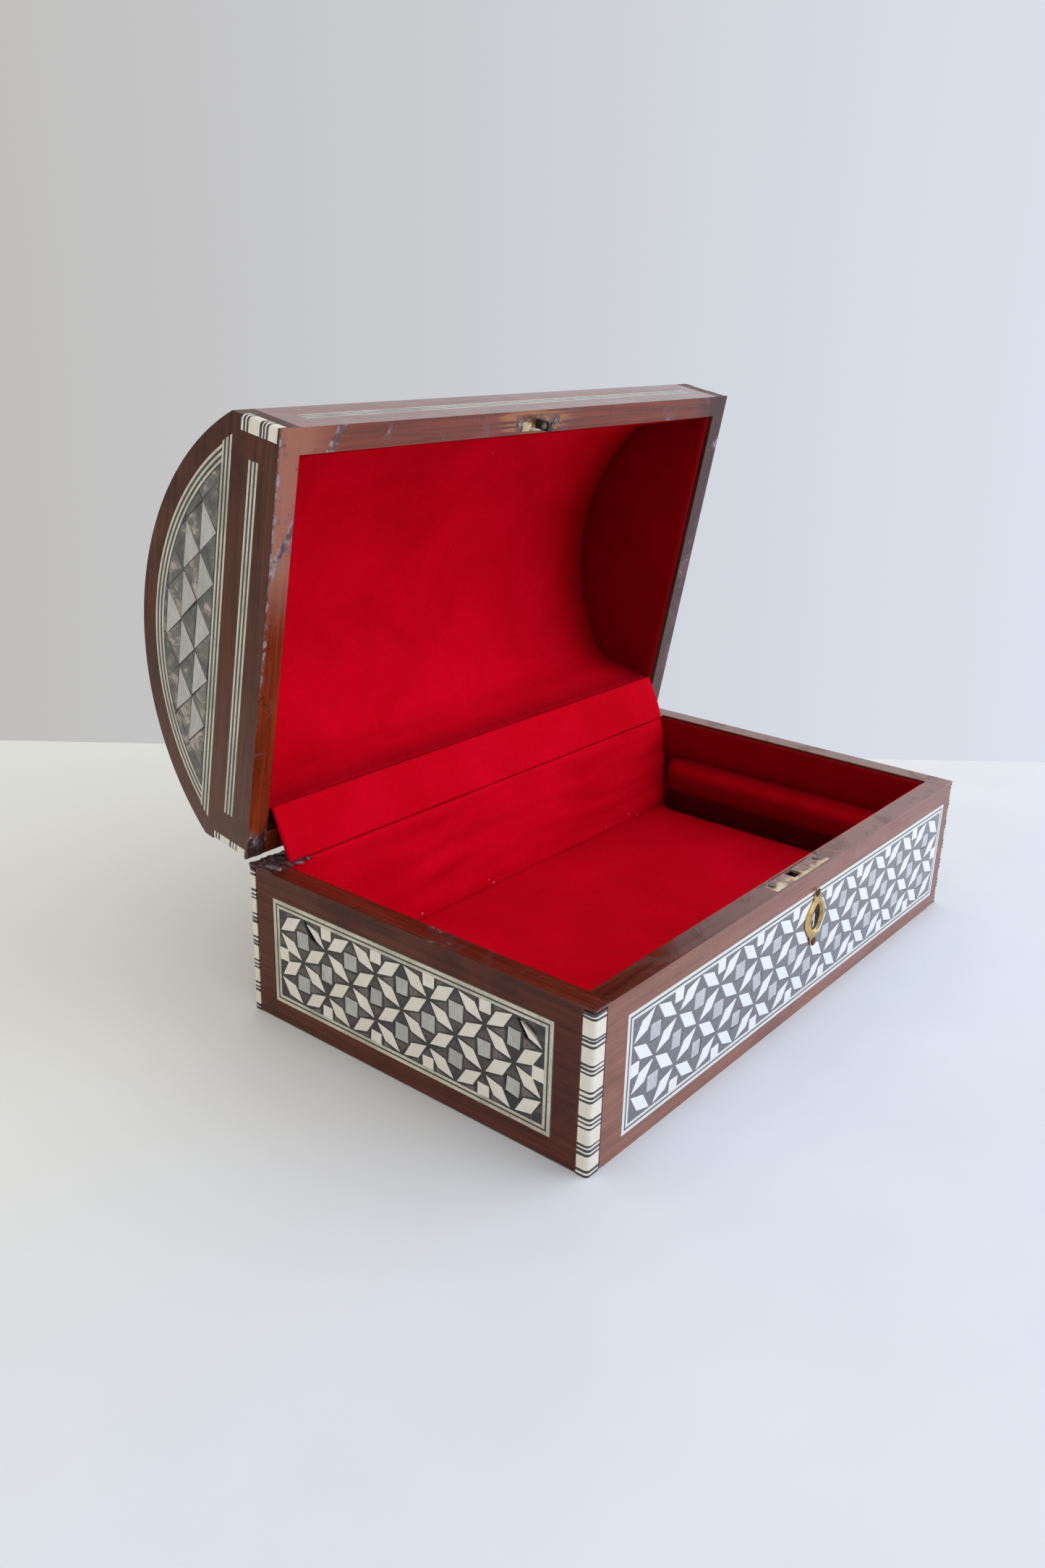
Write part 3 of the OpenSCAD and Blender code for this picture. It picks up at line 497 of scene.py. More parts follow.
def line_bone_look(name="line_bone", painted_light_share=0.0):
    """The bone of the stringing, greyer and yellower than the pieces, with soil along it; the
    painted light share mixes in bluish white, which paints the light on the front.
    """
    look = Look(name, {"Roughness": 0.35, "Coat Weight": 0.7, "Coat Roughness": 0.15})
    haze = look.noise(look.place(), 0.09, 5, 0.65)
    colour = look.ramp(haze, (0.32, (0.4, 0.37, 0.29)), (0.5, (0.6, 0.57, 0.45)),
                       (0.7, (0.72, 0.69, 0.56)))
    soil = look.noise(look.place(), 0.9, 4, 0.7)
    colour = look.tint(colour, soil, 0.56, 0.7, 0.6, (0.17, 0.13, 0.1))
    # painted light: the stringing mixed toward bluish white
    colour = look.mix(painted_light_share, colour, (0.84, 0.85, 0.88))
    return look.finish(Base_Color=colour, Normal=look.bump(soil, 0.1, 0.0002))


def ebony_look():
    look = Look("ebony", {"Roughness": 0.38, "Coat Weight": 0.7, "Coat Roughness": 0.15})
    streak = look.noise(look.place(), 0.8, 5, 0.7)
    colour = look.ramp(streak, (0.35, (0.006, 0.005, 0.006)), (0.75, (0.04, 0.033, 0.035)))
    return look.finish(Base_Color=colour, Normal=look.bump(streak, 0.1, 0.0002))


def mastic_look(name="mastic", dark=(0.008, 0.008, 0.01), light=(0.046, 0.042, 0.043),
                gloss=0.25, bend=1.5):
    """The black glue and filler that the pieces are set in."""
    look = Look(name, {"Roughness": 0.42, "Coat Weight": gloss, "Coat Roughness": 0.16,
                       "Coat IOR": bend})
    grit = look.noise(look.place(), 1.1, 5, 0.7)
    colour = look.ramp(grit, (0.35, dark), (0.7, light))
    return look.finish(Base_Color=colour, Normal=look.bump(grit, 0.25, 0.0002))


def tessera_look():
    """Small dark wood pieces between the lozenges, from near black to taupe."""
    look = Look("tessera_wood", {"Roughness": 0.4, "Coat Weight": 0.25, "Coat Roughness": 0.14})
    fibre = look.noise(look.place(scale=(1, 1, 0.4)), 1.5, 5, 0.75)
    toned = look.plus(look.span(look.tone(), 0, 1, -0.28, 0.22), fibre)
    colour = look.ramp(toned, (0.25, (0.02, 0.016, 0.017)), (0.5, (0.085, 0.066, 0.058)),
                       (0.8, (0.2, 0.165, 0.145)))
    return look.finish(Base_Color=colour, Normal=look.bump(fibre, 0.2, 0.0002))


def pearl_look(name="pearl", smoky=(0.34, 0.345, 0.32), silver=(0.6, 0.59, 0.55)):
    """Grey mother of pearl: pieces from silver to smoky, with a soft cloud in each."""
    look = Look(name, {"Roughness": 0.24, "Coat Weight": 0.8, "Coat Roughness": 0.1})
    cloud = look.noise(look.place(scale=(1, 1, 0.45)), 0.42, 4, 0.6, 0.8)
    shades = ((0.3, 0.67), (0.5, 0.83), (0.72, 1))
    colour = look.ramp(cloud, *((at, tuple(share * c for c in silver)) for at, share in shades))
    colour = look.tint(colour, look.tone(), 0, 1, 0.6, smoky)
    growth = look.noise(look.place(scale=(1, 1, 0.15)), 2.4, 2, 0.6)
    colour = look.tint(colour, growth, 0.5, 0.7, 0.3, (0.2, 0.2, 0.2))
    return look.finish(Base_Color=colour, Normal=look.bump(cloud, 0.06, 0.0002))


def abalone_look():
    """Mottled shell: grey-green with darker clouds and pinkish cream veins."""
    look = Look("abalone", {"Roughness": 0.3, "Coat Weight": 0.6, "Coat Roughness": 0.1})
    spot = look.place()
    cloud = look.noise(spot, 0.16, 6, 0.68, 1.0)
    drift = look.plus(cloud, look.span(look.tone(), 0, 1, -0.05, 0.05))
    colour = look.ramp(drift, (0.34, (0.032, 0.033, 0.028)), (0.46, (0.085, 0.086, 0.072)),
                       (0.54, (0.15, 0.145, 0.12)), (0.61, (0.42, 0.345, 0.28)),
                       (0.74, (0.56, 0.46, 0.39)))
    fine = look.noise(spot, 0.8, 5, 0.7, 0.5)
    colour = look.tint(colour, fine, 0.5, 0.68, 0.55, (0.07, 0.072, 0.062))
    return look.finish(Base_Color=colour, Normal=look.bump(cloud, 0.08, 0.0002))


def metal_look(name, bright, dull, rough, metallic=1.0):
    look = Look(name, {"Metallic": metallic})
    tarnish = look.noise(look.place(), 0.5, 5, 0.65)
    colour = look.ramp(tarnish, (0.35, dull), (0.6, bright))
    scratch = look.noise(look.place(scale=(0.3, 4, 4)), 1.0, 3, 0.6)
    worn = look.span(tarnish, 0.3, 0.7, rough + 0.15, rough)
    return look.finish(Base_Color=colour, Roughness=worn, Normal=look.bump(scratch, 0.1, 0.0001))


def chipped_look(name, lid, edge_at, reach, paints, middle=None):
    """Fittings painted as the wood, chipped to pale yellow along one edge and cracked.

    With a middle, the chips keep near that place along x."""
    look = Look(name, {"Coat Weight": 0.4, "Coat Roughness": 0.12, "Roughness": 0.4,
                       "Specular IOR Level": 0.22})
    spot = look.place(lid)
    across = look.coord(1, spot)
    patch = look.noise(spot, 0.22, 4, 0.6, 0.4)
    edge = look.plus(look.span(across, edge_at, edge_at + reach, 0.2, -0.14), patch)
    if middle is not None:
        along = look.coord(0, spot)
        far = look.maths("ABSOLUTE", look.maths("SUBTRACT", along, middle))
        edge = look.maths("SUBTRACT", edge, look.span(far, 3, 9, 0, 0.3))
    tint = look.noise(spot, 0.35, 5, 0.65)
    paint = look.ramp(tint, *zip((0.35, 0.55, 0.72), paints))
    colour = look.mix(look.span(edge, 0.57, 0.6), paint, (0.56, 0.42, 0.22))
    colour = look.mix(look.span(edge, 0.68, 0.72), colour, (0.62, 0.6, 0.5))
    grime = look.noise(spot, 0.42, 5, 0.75, 0.5)
    colour = look.tint(colour, grime, 0.6, 0.65, 0.85, (0.03, 0.014, 0.012))
    return look.finish(Base_Color=colour, Normal=look.bump(edge, 0.4, 0.0004))


VELVET_TONES = (0.54, 0.0002, 0.009), (0.7, 0.0004, 0.016)


def velvet_look(name, lid=False, depth=1.0, bands=(), lint_below=None):
    """Crimson cotton velvet: brushed patches, a fine pile and a few specks of lint.

    Depth scales the colour down: the deep copies paint the shade of linings that face away
    from the light. Bands paint highlight and shade along an axis, and lint gathers below a level."""
    look = Look(name, {"Roughness": 0.9, "Specular IOR Level": 0.02, "Sheen Weight": 0.12,
                       "Sheen Roughness": 0.4, "Sheen Tint": (1, 0.02, 0.05, 1)})
    spot = look.place(lid)
    brushed = look.noise(spot, 0.03, 4, 0.6, 0.6)
    low, high = (tuple(depth * c for c in tone) for tone in VELVET_TONES)
    colour = look.ramp(brushed, (0.3, low), (0.7, high))
    pile = look.noise(spot, 1.4, 3, 0.8)
    colour = look.tint(colour, pile, 0.4, 0.75, 0.28, (0.28 * depth, 0.0004, 0.004))
    for axis, start, end, marks in bands:
        along = look.coord(axis, spot)
        stops = [(at, (share,) * 3) for at, share in marks]
        shade = look.ramp(look.span(along, start, end), *stops)
        colour = look.mix(1.0, colour, shade, "MULTIPLY")
    cells = look.add("TexVoronoi", {"Vector": spot, "Scale": 0.045, "Randomness": 1.0})
    lint = look.span(cells, 0.011, 0.006)
    if lint_below:
        dense = look.add("TexVoronoi", {"Vector": spot, "Scale": 0.3, "Randomness": 1.0})
        level = look.coord(2, spot)
        near = look.span(level, lint_below + 1, lint_below)
        lint = look.span(look.plus(lint, look.times(look.span(dense, 0.1, 0.07), near)), 0, 1)
    colour = look.mix(look.times(lint, 0.8), colour, (0.8, 0.62, 0.6))
    return look.finish(Base_Color=colour, Normal=look.bump(pile, 0.35, 0.0003))


bone = bone_look()
# The front's bone is whiter and bluer than the rest: painted light and reflection from the window.
front_bone_painted_light = bone_look("front_bone_painted_light", (0.91, 0.93, 0.96), (0.83, 0.85, 0.89))
line_bone = line_bone_look()
# The front's stringing is mixed toward bluish white: painted light.
front_line_bone_painted_light = line_bone_look("front_line_bone_painted_light", 0.75)
ebony = ebony_look()
mastic = mastic_look()
# The front's mastic is lighter and greyer, a painted reflection of the window, under a thick glossy
# varnish.
front_mastic_painted_light = mastic_look("front_mastic_painted_light", (0.05, 0.05, 0.062), (0.13, 0.125, 0.15), 1.0, 1.65)
tessera = tessera_look()
pearl = pearl_look()
# The front's pearl is lighter and bluer: painted light.
front_pearl_painted_light = pearl_look("front_pearl_painted_light", (0.5, 0.51, 0.55), (0.62, 0.63, 0.68))
abalone = abalone_look()
brass = metal_look("brass", (0.72, 0.5, 0.2), (0.42, 0.26, 0.09), 0.25)
steel = metal_look("steel", (0.32, 0.29, 0.27), (0.08, 0.06, 0.05), 0.35)
rust = metal_look("rusty_pin", (0.16, 0.05, 0.03), (0.05, 0.015, 0.01), 0.45, 0.3)
plate = chipped_look(
    "painted_plate", False, -HW + 0.5, 5.2,
    ((0.18, 0.09, 0.07), (0.3, 0.18, 0.15), (0.38, 0.26, 0.22)),
)
catch_paint = chipped_look(
    "painted_catch", True, -IN_W, -9,
    ((0.09, 0.035, 0.03), (0.22, 0.09, 0.05), (0.45, 0.19, 0.06)), middle=-6.5,
)
# Very dark metal: the catch's dark steel tongue, and painted shade inside the keyhole cup and the
# lock case behind it.
dark_steel_and_painted_shade = metal_look("dark_steel_and_shade_metal", (0.05, 0.035, 0.025), (0.01, 0.008, 0.007), 0.3, 0.5)
velvet = velvet_look("velvet")
floor_velvet = velvet_look("floor_velvet", depth=0.88)
back_velvet = velvet_look("back_velvet", lint_below=13.5)
# The lid lining: its bands paint the shade cast by the lid's right end, darkening toward it, and
# the shade near the rim, in the fold at the foot and along the front.
lid_velvet = velvet_look(
    "lid_velvet", lid=True,
    bands=((0, 45, 93, ((0, 1), (0.6, 0.85), (1, 0.4))), (2, 2, 13, ((0.1, 0.6), (0.9, 1)))),
)
# The right lining faces away from the light: a darker copy paints its shade, and its band paints
# shade just above the ring roll and under the rim, with lighter velvet between.
painted_shade_velvet = velvet_look(
    "painted_shade_velvet", depth=0.33, bands=((2, 29, 44, ((0, 0.6), (0.3, 1), (0.8, 1.15), (1, 0.9))),),
)
# The ring roll: a darker copy paints its shaded side, and its band paints a highlight along its top
# and deep shade down toward the floor.
ring_velvet_painted_light = velvet_look(
    "ring_velvet_painted_light", depth=0.33,
    bands=((2, 11, 30, ((0, 0.2), (0.4, 0.28), (0.5, 0.75), (0.72, 1.05), (0.88, 1.9), (1, 1.3))),),
)
# The lid's right end faces away from the light: a darker copy of the velvet paints its shade.
painted_shade_lid_velvet = velvet_look("painted_shade_lid_velvet", lid=True, depth=0.33)
splinters = splinter_look()
lid_splinters = splinter_look(lid=True)

# --- boards and fittings

EDGE = 0.45


def dress(node, looks, edge=None, seams=None):
    """Gives a CAD node its materials, and rounds its sharp edges in the last of them."""
    shape = frame["nodes"][node]
    mesh = shape.data
    mesh.materials.clear()
    for look in looks:
        mesh.materials.append(look)
    if not edge:
        return
    spots = [shape.matrix_world @ v.co / MM for v in mesh.vertices]
    keys = [tuple(round(c, 2) for c in spot) for spot in spots]
    normals = {}
    for face in mesh.polygons:
        ring = list(face.vertices)
        for a, b in zip(ring, ring[1:] + ring[:1]):
            normals.setdefault(frozenset((keys[a], keys[b])), []).append(face.normal.copy())
    weights = []
    for e in mesh.edges:
        around = normals.get(frozenset(keys[v] for v in e.vertices), [])
        sharp = any(n.dot(around[0]) < 0.6 for n in around[1:])
        weights.append(float(sharp and not (seams and seams(*(spots[v] for v in e.vertices)))))
    mesh.attributes.new("bevel_weight_edge", "FLOAT", "EDGE").data.foreach_set("value", weights)
    weld = shape.modifiers.new("weld", "WELD")
    weld.merge_threshold = 0.002 * MM
    bevel = shape.modifiers.new("edges", "BEVEL")
    bevel.width = edge * MM
    bevel.segments = 2
    bevel.limit_method = "WEIGHT"
    bevel.material = len(looks) - 1


def board_seams(lid):
    """Tells the edges where one board meets the next, which stay sharp."""
    home = TO_LID.inverted() if lid else Matrix()
    rim = 0 if lid else BASE_H

    def seam(a, b):
        a, b = home @ a, home @ b
        at_joint = all(abs(abs(p.x) - IN_L) < 0.05 for p in (a, b))
        inner_rim = all(abs(p.z - rim) < 0.05 for p in (a, b))
        return at_joint and not inner_rim

    return seam


def varnish_rims(node, lid):
    """Puts a board's last material on the faces that lie in the rim."""
    shape = frame["nodes"][node]
    home = TO_LID.inverted() if lid else Matrix()
    for face in shape.data.polygons:
        spot = home @ (shape.matrix_world @ face.center / MM)
        if abs(spot.z - (0 if lid else BASE_H)) < 0.02:
            face.material_index = 1


BOARDS = {
    "base": {"bottom": "x", "front_wall": "front", "back_wall": "x",
             "left_wall": "y", "right_wall": "y"},
    "lid": {"left_end": "y", "right_end": "y", "front_rail": "front",
            "back_rail": "x", "barrel": "x"},
}


def dress_boards():
    for tag, boards in BOARDS.items():
        lid = tag == "lid"
        woods = {
            "x": wood_look(f"{tag}_wood_x", "x", lid, WOOD, 0.12),
            "y": wood_look(f"{tag}_wood_y", "y", lid, END_WOOD if lid else WOOD, 0.12,
                           (0, 60) if lid else None),
            # the front boards take the lighter wood, with its painted light
            "front": wood_look(f"{tag}_wood_front", "x", lid, FRONT_WOOD_PAINTED_LIGHT, 1.0 if lid else 0.6),
        }
        rims = {g: rim_look(f"{tag}_rim_{g}", g, lid) for g in ("x", "y")}
        for part, grain in boards.items():
            node = f"{tag}_{part}"
            dress(node, (woods[grain], rims["y" if grain == "y" else "x"]), EDGE, board_seams(lid))
            varnish_rims(node, lid)
    # The ends of the side walls in the front's plane take the front's lighter wood and its painted
    # light.
    for node in ("base_left_wall", "base_right_wall"):
        shape = frame["nodes"][node]
        shape.data.materials.append(bpy.data.materials["base_wood_front"])
        for face in shape.data.polygons:
            if face.normal.y < -0.9 and (shape.matrix_world @ face.center).y < (0.01 - HW) * MM:
                face.material_index = 2


def put_front_painted_light(shape, look):
    """Puts another look on the faces in the front's plane: a lighter, bluer copy, which paints the
    light and reflection that the front catches.
    """
    shape.data.materials.append(look)
    for face in shape.data.polygons:
        spot = shape.matrix_world @ face.center
        if spot.y < (1 - HW) * MM:
            face.material_index = len(shape.data.materials) - 1


def dress_inlay():
    for node in ("base_back_ground", "base_left_ground", "base_right_ground",
                 "lid_left_ground", "lid_right_ground", "lid_barrel_ground"):
        dress(node, (mastic,))
    dress("base_front_ground", (front_mastic_painted_light,))
    for tag in ("base", "lid"):
        dress(f"{tag}_bone_stringing", (line_bone,))
        dress(f"{tag}_ebony_stringing", (ebony,))
    put_front_painted_light(frame["nodes"]["base_bone_stringing"], front_line_bone_painted_light)


def dress_fittings():
    # The lock case shows only through the slot and keyhole; its dark metal paints the shade there.
    dress("lock_case", (dark_steel_and_painted_shade,))
    for node in ("hinge_base_leaves", "hinge_lid_leaves"):
        dress(node, (brass,), 0.08)
    for node in ("lock_bolt", "lock_screws", "lock_key_pin", "lid_catch_nails",
                 "hinge_pins", "hinge_base_screws", "hinge_lid_screws"):
        dress(node, (steel,), 0.08)
    dress("lock_plate", (plate,), 0.15)
    dress("lid_catch", (catch_paint, dark_steel_and_painted_shade), 0.08)
    catch = frame["nodes"]["lid_catch"]
    for face in catch.data.polygons:
        spot = TO_LID.inverted() @ (catch.matrix_world @ face.center / MM)
        face.material_index = 1 if spot.z < -0.1 else 0


dress_boards()
dress_inlay()
dress_fittings()

# --- corner strips

BASE_CORNERS = ((-1, -1, 4.3, 3.3), (-1, 1, 4.2, 2.6), (1, -1, 1.2, 4.8), (1, 1, 4.2, 4.2))
LID_CORNERS = ((-1, -1, 2.6, 3.7), *BASE_CORNERS[1:])
CORNER_LIP = 0.8
BAND_PITCH, SLICE_EBONY, SLICE_BONE = 7.1, 0.7, 0.5


def strip_plan(corner):
    """A strip seen from above: its outer corner is rubbed round."""
    sx, sy, w, d = corner
    x1, y1 = HL + 0.04, HW + 0.04
    rub = min(1.1, 0.7 * w, 0.7 * d)
    plan = [(HL - w, HW - d), (x1, HW - d)]
    plan += [
        (x1 - rub * (1 - math.cos(a)), y1 - rub * (1 - math.sin(a)))
        for a in (math.pi / 2 * k / 5 for k in range(6))
    ]
    plan.append((HL - w, y1))
    return [(sx * x, sy * y) for x, y in plan]


def strip_levels(low, high, first, rng):
    """Bone and ebony by turns up a strip, each cut a little differently."""
    marks = [(low, "bone")]
    at = first
    while at < high:
        for k in range(3):
            z = at + k * (SLICE_EBONY + SLICE_BONE)
            marks += [(z, "ebony"), (z + SLICE_EBONY, "bone")]
        at += BAND_PITCH
    marks = [(max(z, low), kind) for z, kind in marks if z < high - 0.15] + [(high, None)]
    pairs = [(a, b) for a, b in zip(marks, marks[1:]) if b[0] - a[0] > 0.05]
    cuts = [low] + [a[0] + rng.gauss(0, 0.1) for a, b in pairs[1:]] + [high]
    return [(cuts[k], cuts[k + 1], pair[0][1]) for k, pair in enumerate(pairs)]


def corner_strips(tag, corners, low, high, first, lid):
    heaps = {kind: ([], [], []) for kind in ("bone", "ebony")}
    rng = random.Random(41 + lid)
    for corner in corners:
        plan = strip_plan(corner)
        n, slant = len(plan), 0
        for z0, z1, kind in strip_levels(low, high, first + rng.gauss(0, 0.2), rng):
            verts, faces, tones = heaps[kind]
            start, tone = len(verts), rng.random()
            tilts = slant, (0 if z1 == high else rng.gauss(0, 0.02))
            slant = tilts[1]
            for z, tilt in zip((z0, z1), tilts):
                for x, y in plan:
                    verts.append((x, y, z + tilt * (abs(x) - HL - abs(y) + HW)))
            faces += tube_faces(start, n, 1) + end_faces(start, n, start + n)
            tones += [tone] * (2 * n)
    for kind, look in (("bone", bone), ("ebony", ebony)):
        verts, faces, tones = heaps[kind]
        made = piece(f"{tag}_corner_{kind}_blocks", verts, faces, look, tag,
                     [f"{tag}_corner_{kind}"], lid=lid)
        set_tones(made, tones)


corner_strips("base", BASE_CORNERS, 0, BASE_H - CORNER_LIP, -1.2, False)
corner_strips("lid", LID_CORNERS, CORNER_LIP, 14, 4, True)

# --- escutcheon

KEY = (5.5, 28.7)
PLATE_HALF = (5.9, 9)
PLATE_TIP = 1.9
CUP = (3.3, 4.4)
PIN_UP = 7.5


def plate_outline(a):
    t = math.cos(a)
    w = max(
        PLATE_HALF[0] * max(math.cos(math.pi / 2 * t), 0) ** 1.6,
        PLATE_TIP * math.sqrt(max(1 - t**8, 0)),
    )
    return w * (1 if math.sin(a) >= 0 else -1), PLATE_HALF[1] * t


def keyhole_outline(a):
    """Round above, with a slot below, by the angle from straight up."""
    down = -math.cos(a)
    reach = 1.3
    if down > 0:
        slot = min(3.3 / down, 0.6 / max(abs(math.sin(a)), 1e-6))
        reach = max(reach, slot)
    return reach * math.sin(a), reach * math.cos(a)


def between(a, t):
    """On the swelling plate, from the cup's edge, at 0, to the plate's edge, at 1."""
    x0, z0 = CUP[0] * math.sin(a), CUP[1] * math.cos(a)
    x1, z1 = plate_outline(a)
    return x0 + (x1 - x0) * t, z0 + (z1 - z0) * t


def plate_rings():
    """The plate's section, as outlines and how far each stands out of the front."""
    swell = ((1, -0.02), (1, 0.3), (0.93, 0.44), (0.55, 0.56),
             (0.25, 0.78), (0.1, 0.9), (0.03, 0.92), (0, 0.86))
    rings = [(lambda a, t=t: between(a, t), proud) for t, proud in swell]
    for w, h, proud in ((0.97, 0.98, 0.6), (0.92, 0.94, 0.12)):
        w, h = w * CUP[0], h * CUP[1]
        rings.append((lambda a, w=w, h=h: (w * math.sin(a), h * math.cos(a)), proud))
    return rings + [(keyhole_outline, proud) for proud in (0.06, -0.3, -0.02)]


def escutcheon():
    """A pierced brass plate that swells up round a cup, with the keyhole in the cup's floor."""
    count, rings, verts = 96, plate_rings(), []
    for outline, proud in rings:
        for k in range(count):
            x, z = outline(2 * math.pi * (k + 0.5) / count)
            verts.append((KEY[0] + x, -HW - proud, KEY[1] + z))
    faces = [tuple(v % len(verts) for v in face) for face in tube_faces(0, count, len(rings))]
    made = piece("escutcheon_plate", verts, faces, brass, "base", ["escutcheon"],
                 smooth=True)
    # The cup's floor and the keyhole's walls take the dark metal, which paints the shade inside
    # them.
    made.data.materials.append(dark_steel_and_painted_shade)
    for face in made.data.polygons[9 * count:12 * count]:
        face.material_index = 1


def pin_heads():
    """Worn heads of the escutcheon's pins; the upper one is bent over to the left."""
    profile, count = ((1.15, 0.3), (1.25, 0.6), (1.1, 0.86), (0.7, 1.02), (0.2, 1.08)), 14
    verts, faces = [], []
    for way, lean in ((1, (-0.66, 0.5)), (-1, (0.03, 0))):
        start, z = len(verts), KEY[1] + way * PIN_UP
        for r, proud in profile:
            for k in range(count):
                c, s = math.cos(2 * math.pi * k / count), math.sin(2 * math.pi * k / count)
                rough = r * (1 + 0.08 * noise.noise(Vector((c, s, way * 3.0 + r))))
                verts.append((KEY[0] + rough * c + lean[0] * proud, -HW - proud,
                              z + rough * s + lean[1] * proud))
        faces += tube_faces(start, count, 4) + end_faces(start, count, start + 4 * count)
    piece("escutcheon_pin_heads", verts, faces, rust, "base", ["escutcheon_pins"],
          smooth=True)


escutcheon()
pin_heads()

# --- broken wood at the hinge side


def broken(name, low, high, height, way, look, body, lid, seed, lean):
    """A ragged crust on a rim: a grid with torn, uneven heights that end at nothing.

    Its inner edge is ragged too, and leans back by the given length toward the outer side."""
    nu, nv, verts = 44, 18, []
    for top, j, i in itertools.product((1, 0), range(nv + 1), range(nu + 1)):
        u, v = i / nu, j / nv
        x, y = (low[k] + (high[k] - low[k]) * t for k, t in enumerate((u, v)))
        fray = noise.noise(Vector((x * 0.8, seed, 2.5)))
        y += (1 - v) * (lean * (1 - u) + 1.1 * fray)
        rough = noise.fractal(Vector((x * 0.32, y * 0.5, seed)), 0.8, 2.1, 4)
        torn = noise.noise(Vector((x * 0.9, y * 0.35, seed + 9)))
        lift = 0.62 + 0.8 * rough + 0.35 * torn
        fade = min(1, (1 - u) * 3.2) * min(1, v * 2.6 + 0.25)
        z = height * max(0.02, min(1, lift * fade)) if top else -0.05
        verts.append((x, y, (0 if lid else BASE_H) + way * z))
    faces = slab_faces(nu + 1, nv + 1)
    piece(name, verts, faces, look, body, [], lid=lid)


broken("base_splinters", (-HL + 0.1, IN_W - 3), (-HL + 15, HW - 0.1), 0.58, 1,
       splinters, "base", False, 2.0, 0)
broken("lid_splinters", (-HL + 0.1, IN_W - 1), (-HL + 6.4, HW - 0.1), 0.34, -1,
       lid_splinters, "lid", True, 5.0, 2.5)


def rim_top(u, v, depth):
    return (u, v, BASE_H - depth)


def lock_cracks():
    """Splits in the rim at both ends of the lock's plate."""
    cracks = Pieces(51)
    for outline in (
        [(12.7, -51.9), (14.0, -51.8), (13.3, -55.6)],
        [(13.5, -51.9), (16.0, -51.8), (13.7, -52.9)],
        [(-18.9, -51.9), (-17.4, -52.0), (-15.0, -53.9)],
        [(-16.0, -53.0), (-15.1, -53.4), (-15.3, -52.5)],
    ):
        cracks.add(rim_top, outline, 0.02, 0.3, 0.03)
    cracks.made("lock_cracks", mastic, "base", "wood_dark", [])


lock_cracks()

# --- star inlay of the base

LOZENGE_W = 4.2
TIP_GAP = 0.65
SQUARE = (4.5, 4.8)
EDGE_SQUARE = (3.8, 3.5)


def field_of(side):
    """The lowest and highest corner of a side's star field, in the side's own plane."""
    low, high = node_box(f"base_{side}_ground")
    along = 0 if side in ("front", "back") else 1
    return (low[along], low.z), (high[along], high.z)


def lozenge(start, end):
    a, b = Vector(start), Vector(end)
    along = (b - a).normalized()
    across = Vector((-along.y, along.x)) * LOZENGE_W / 2
    middle = (a + b) / 2
    a, b = a + along * TIP_GAP, b - along * TIP_GAP
    return [tuple(p) for p in (a, middle - across, b, middle + across)]


def chipped(shape, way):
    """What is left of a lozenge that has lost its tip and one of its sides."""
    a, b = Vector(shape[0]), Vector(shape[0]).lerp(Vector(shape[2]), 0.86)
    down = Vector((a.y - b.y, b.x - a.x)).normalized() * way
    return [tuple(p) for p in (a, a.lerp(b, 0.5) + down * 1.9, b, a.lerp(b, 0.35) - down * 0.6)]


def dark_wood(surface, at, step, corner, region, woods):
    """The pieces of wood on both sides of a square, and above and below it."""
    (x, y), (cx, cy) = at, corner
    hx, hy = (side / 2 + 0.25 for side in SQUARE)
    for way in (-1, 1):
        wing = [
            (x + way * (step[0] - 1.3), y), (x + way * cx, y + cy), (x + way * hx, y + cy * 1.1),
            (x + way * hx, y - cy * 1.1), (x + way * cx, y - cy),
        ]
        foot = y + way * hy
        tip = [(x - cx + 0.4, foot), (x + cx - 0.4, foot), (x, y + way * (step[1] - 0.9))]
        for outline, gap, tones in ((wing, 0.3, (0.3, 1)), (tip, 0.25, (0, 0.7))):
            outline = clipped(inset(outline, gap), region)
            woods.add(surface, outline, 0.02, 0.5, 0.05, woods.rng.uniform(*tones))


def star_field(surface, low, high, cells, rows, bones, pearls, woods, chips=()):
    """Bone lozenges, pearl and bone squares and dark wood between them, over a field."""
    sx = (high[0] - low[0]) / (2 * cells)
    sy = (high[1] - low[1]) / (2 * rows)
    middle = [(a + b) / 2 for a, b in zip(low, high)]
    region = rectangle(middle, [b - a - 0.5 for a, b in zip(low, high)])
    slant = math.hypot(sx, sy)
    corner = (sx / 2 - sy / slant * LOZENGE_W / 2, sy / 2 - sx / slant * LOZENGE_W / 2)

    def at(i, j):
        return (low[0] + i * sx, low[1] + j * sy)

    for i, j in itertools.product(range(2 * cells), range(2 * rows)):
        ends = (at(i, j), at(i + 1, j + 1)) if (i + j) % 2 else (at(i, j + 1), at(i + 1, j))
        shape = bones.worked(lozenge(*ends), 0.07, 0.9)
        bones.add(surface, chipped(shape, chips[i, j]) if (i, j) in chips else shape)
    for i, j in itertools.product(range(2 * cells + 1), range(2 * rows + 1)):
        if (i + j) % 2:
            continue
        x, y = at(i, j)
        on_side, on_end = j in (0, 2 * rows), i in (0, 2 * cells)
        if not on_side and not on_end:
            w = SQUARE[0] * pearls.rng.uniform(0.88, 1.08)
            h = SQUARE[1] * pearls.rng.uniform(0.9, 1.05)
            pearls.add(surface, pearls.worked(rectangle((x, y), (w, h)), 0.1, 3.0))
        elif not (on_side and on_end):
            w, h = EDGE_SQUARE if on_side else EDGE_SQUARE[::-1]
            x += 0 if on_side else (h / 2 - 0.2) * (1 if i == 0 else -1)
            y += (h / 2 - 0.05) * (1 if j == 0 else -1) if on_side else 0
            bones.add(surface, bones.worked(rectangle((x, y), (w, h)), 0.08, 1.5))
        dark_wood(surface, at(i, j), (sx, sy), corner, region, woods)


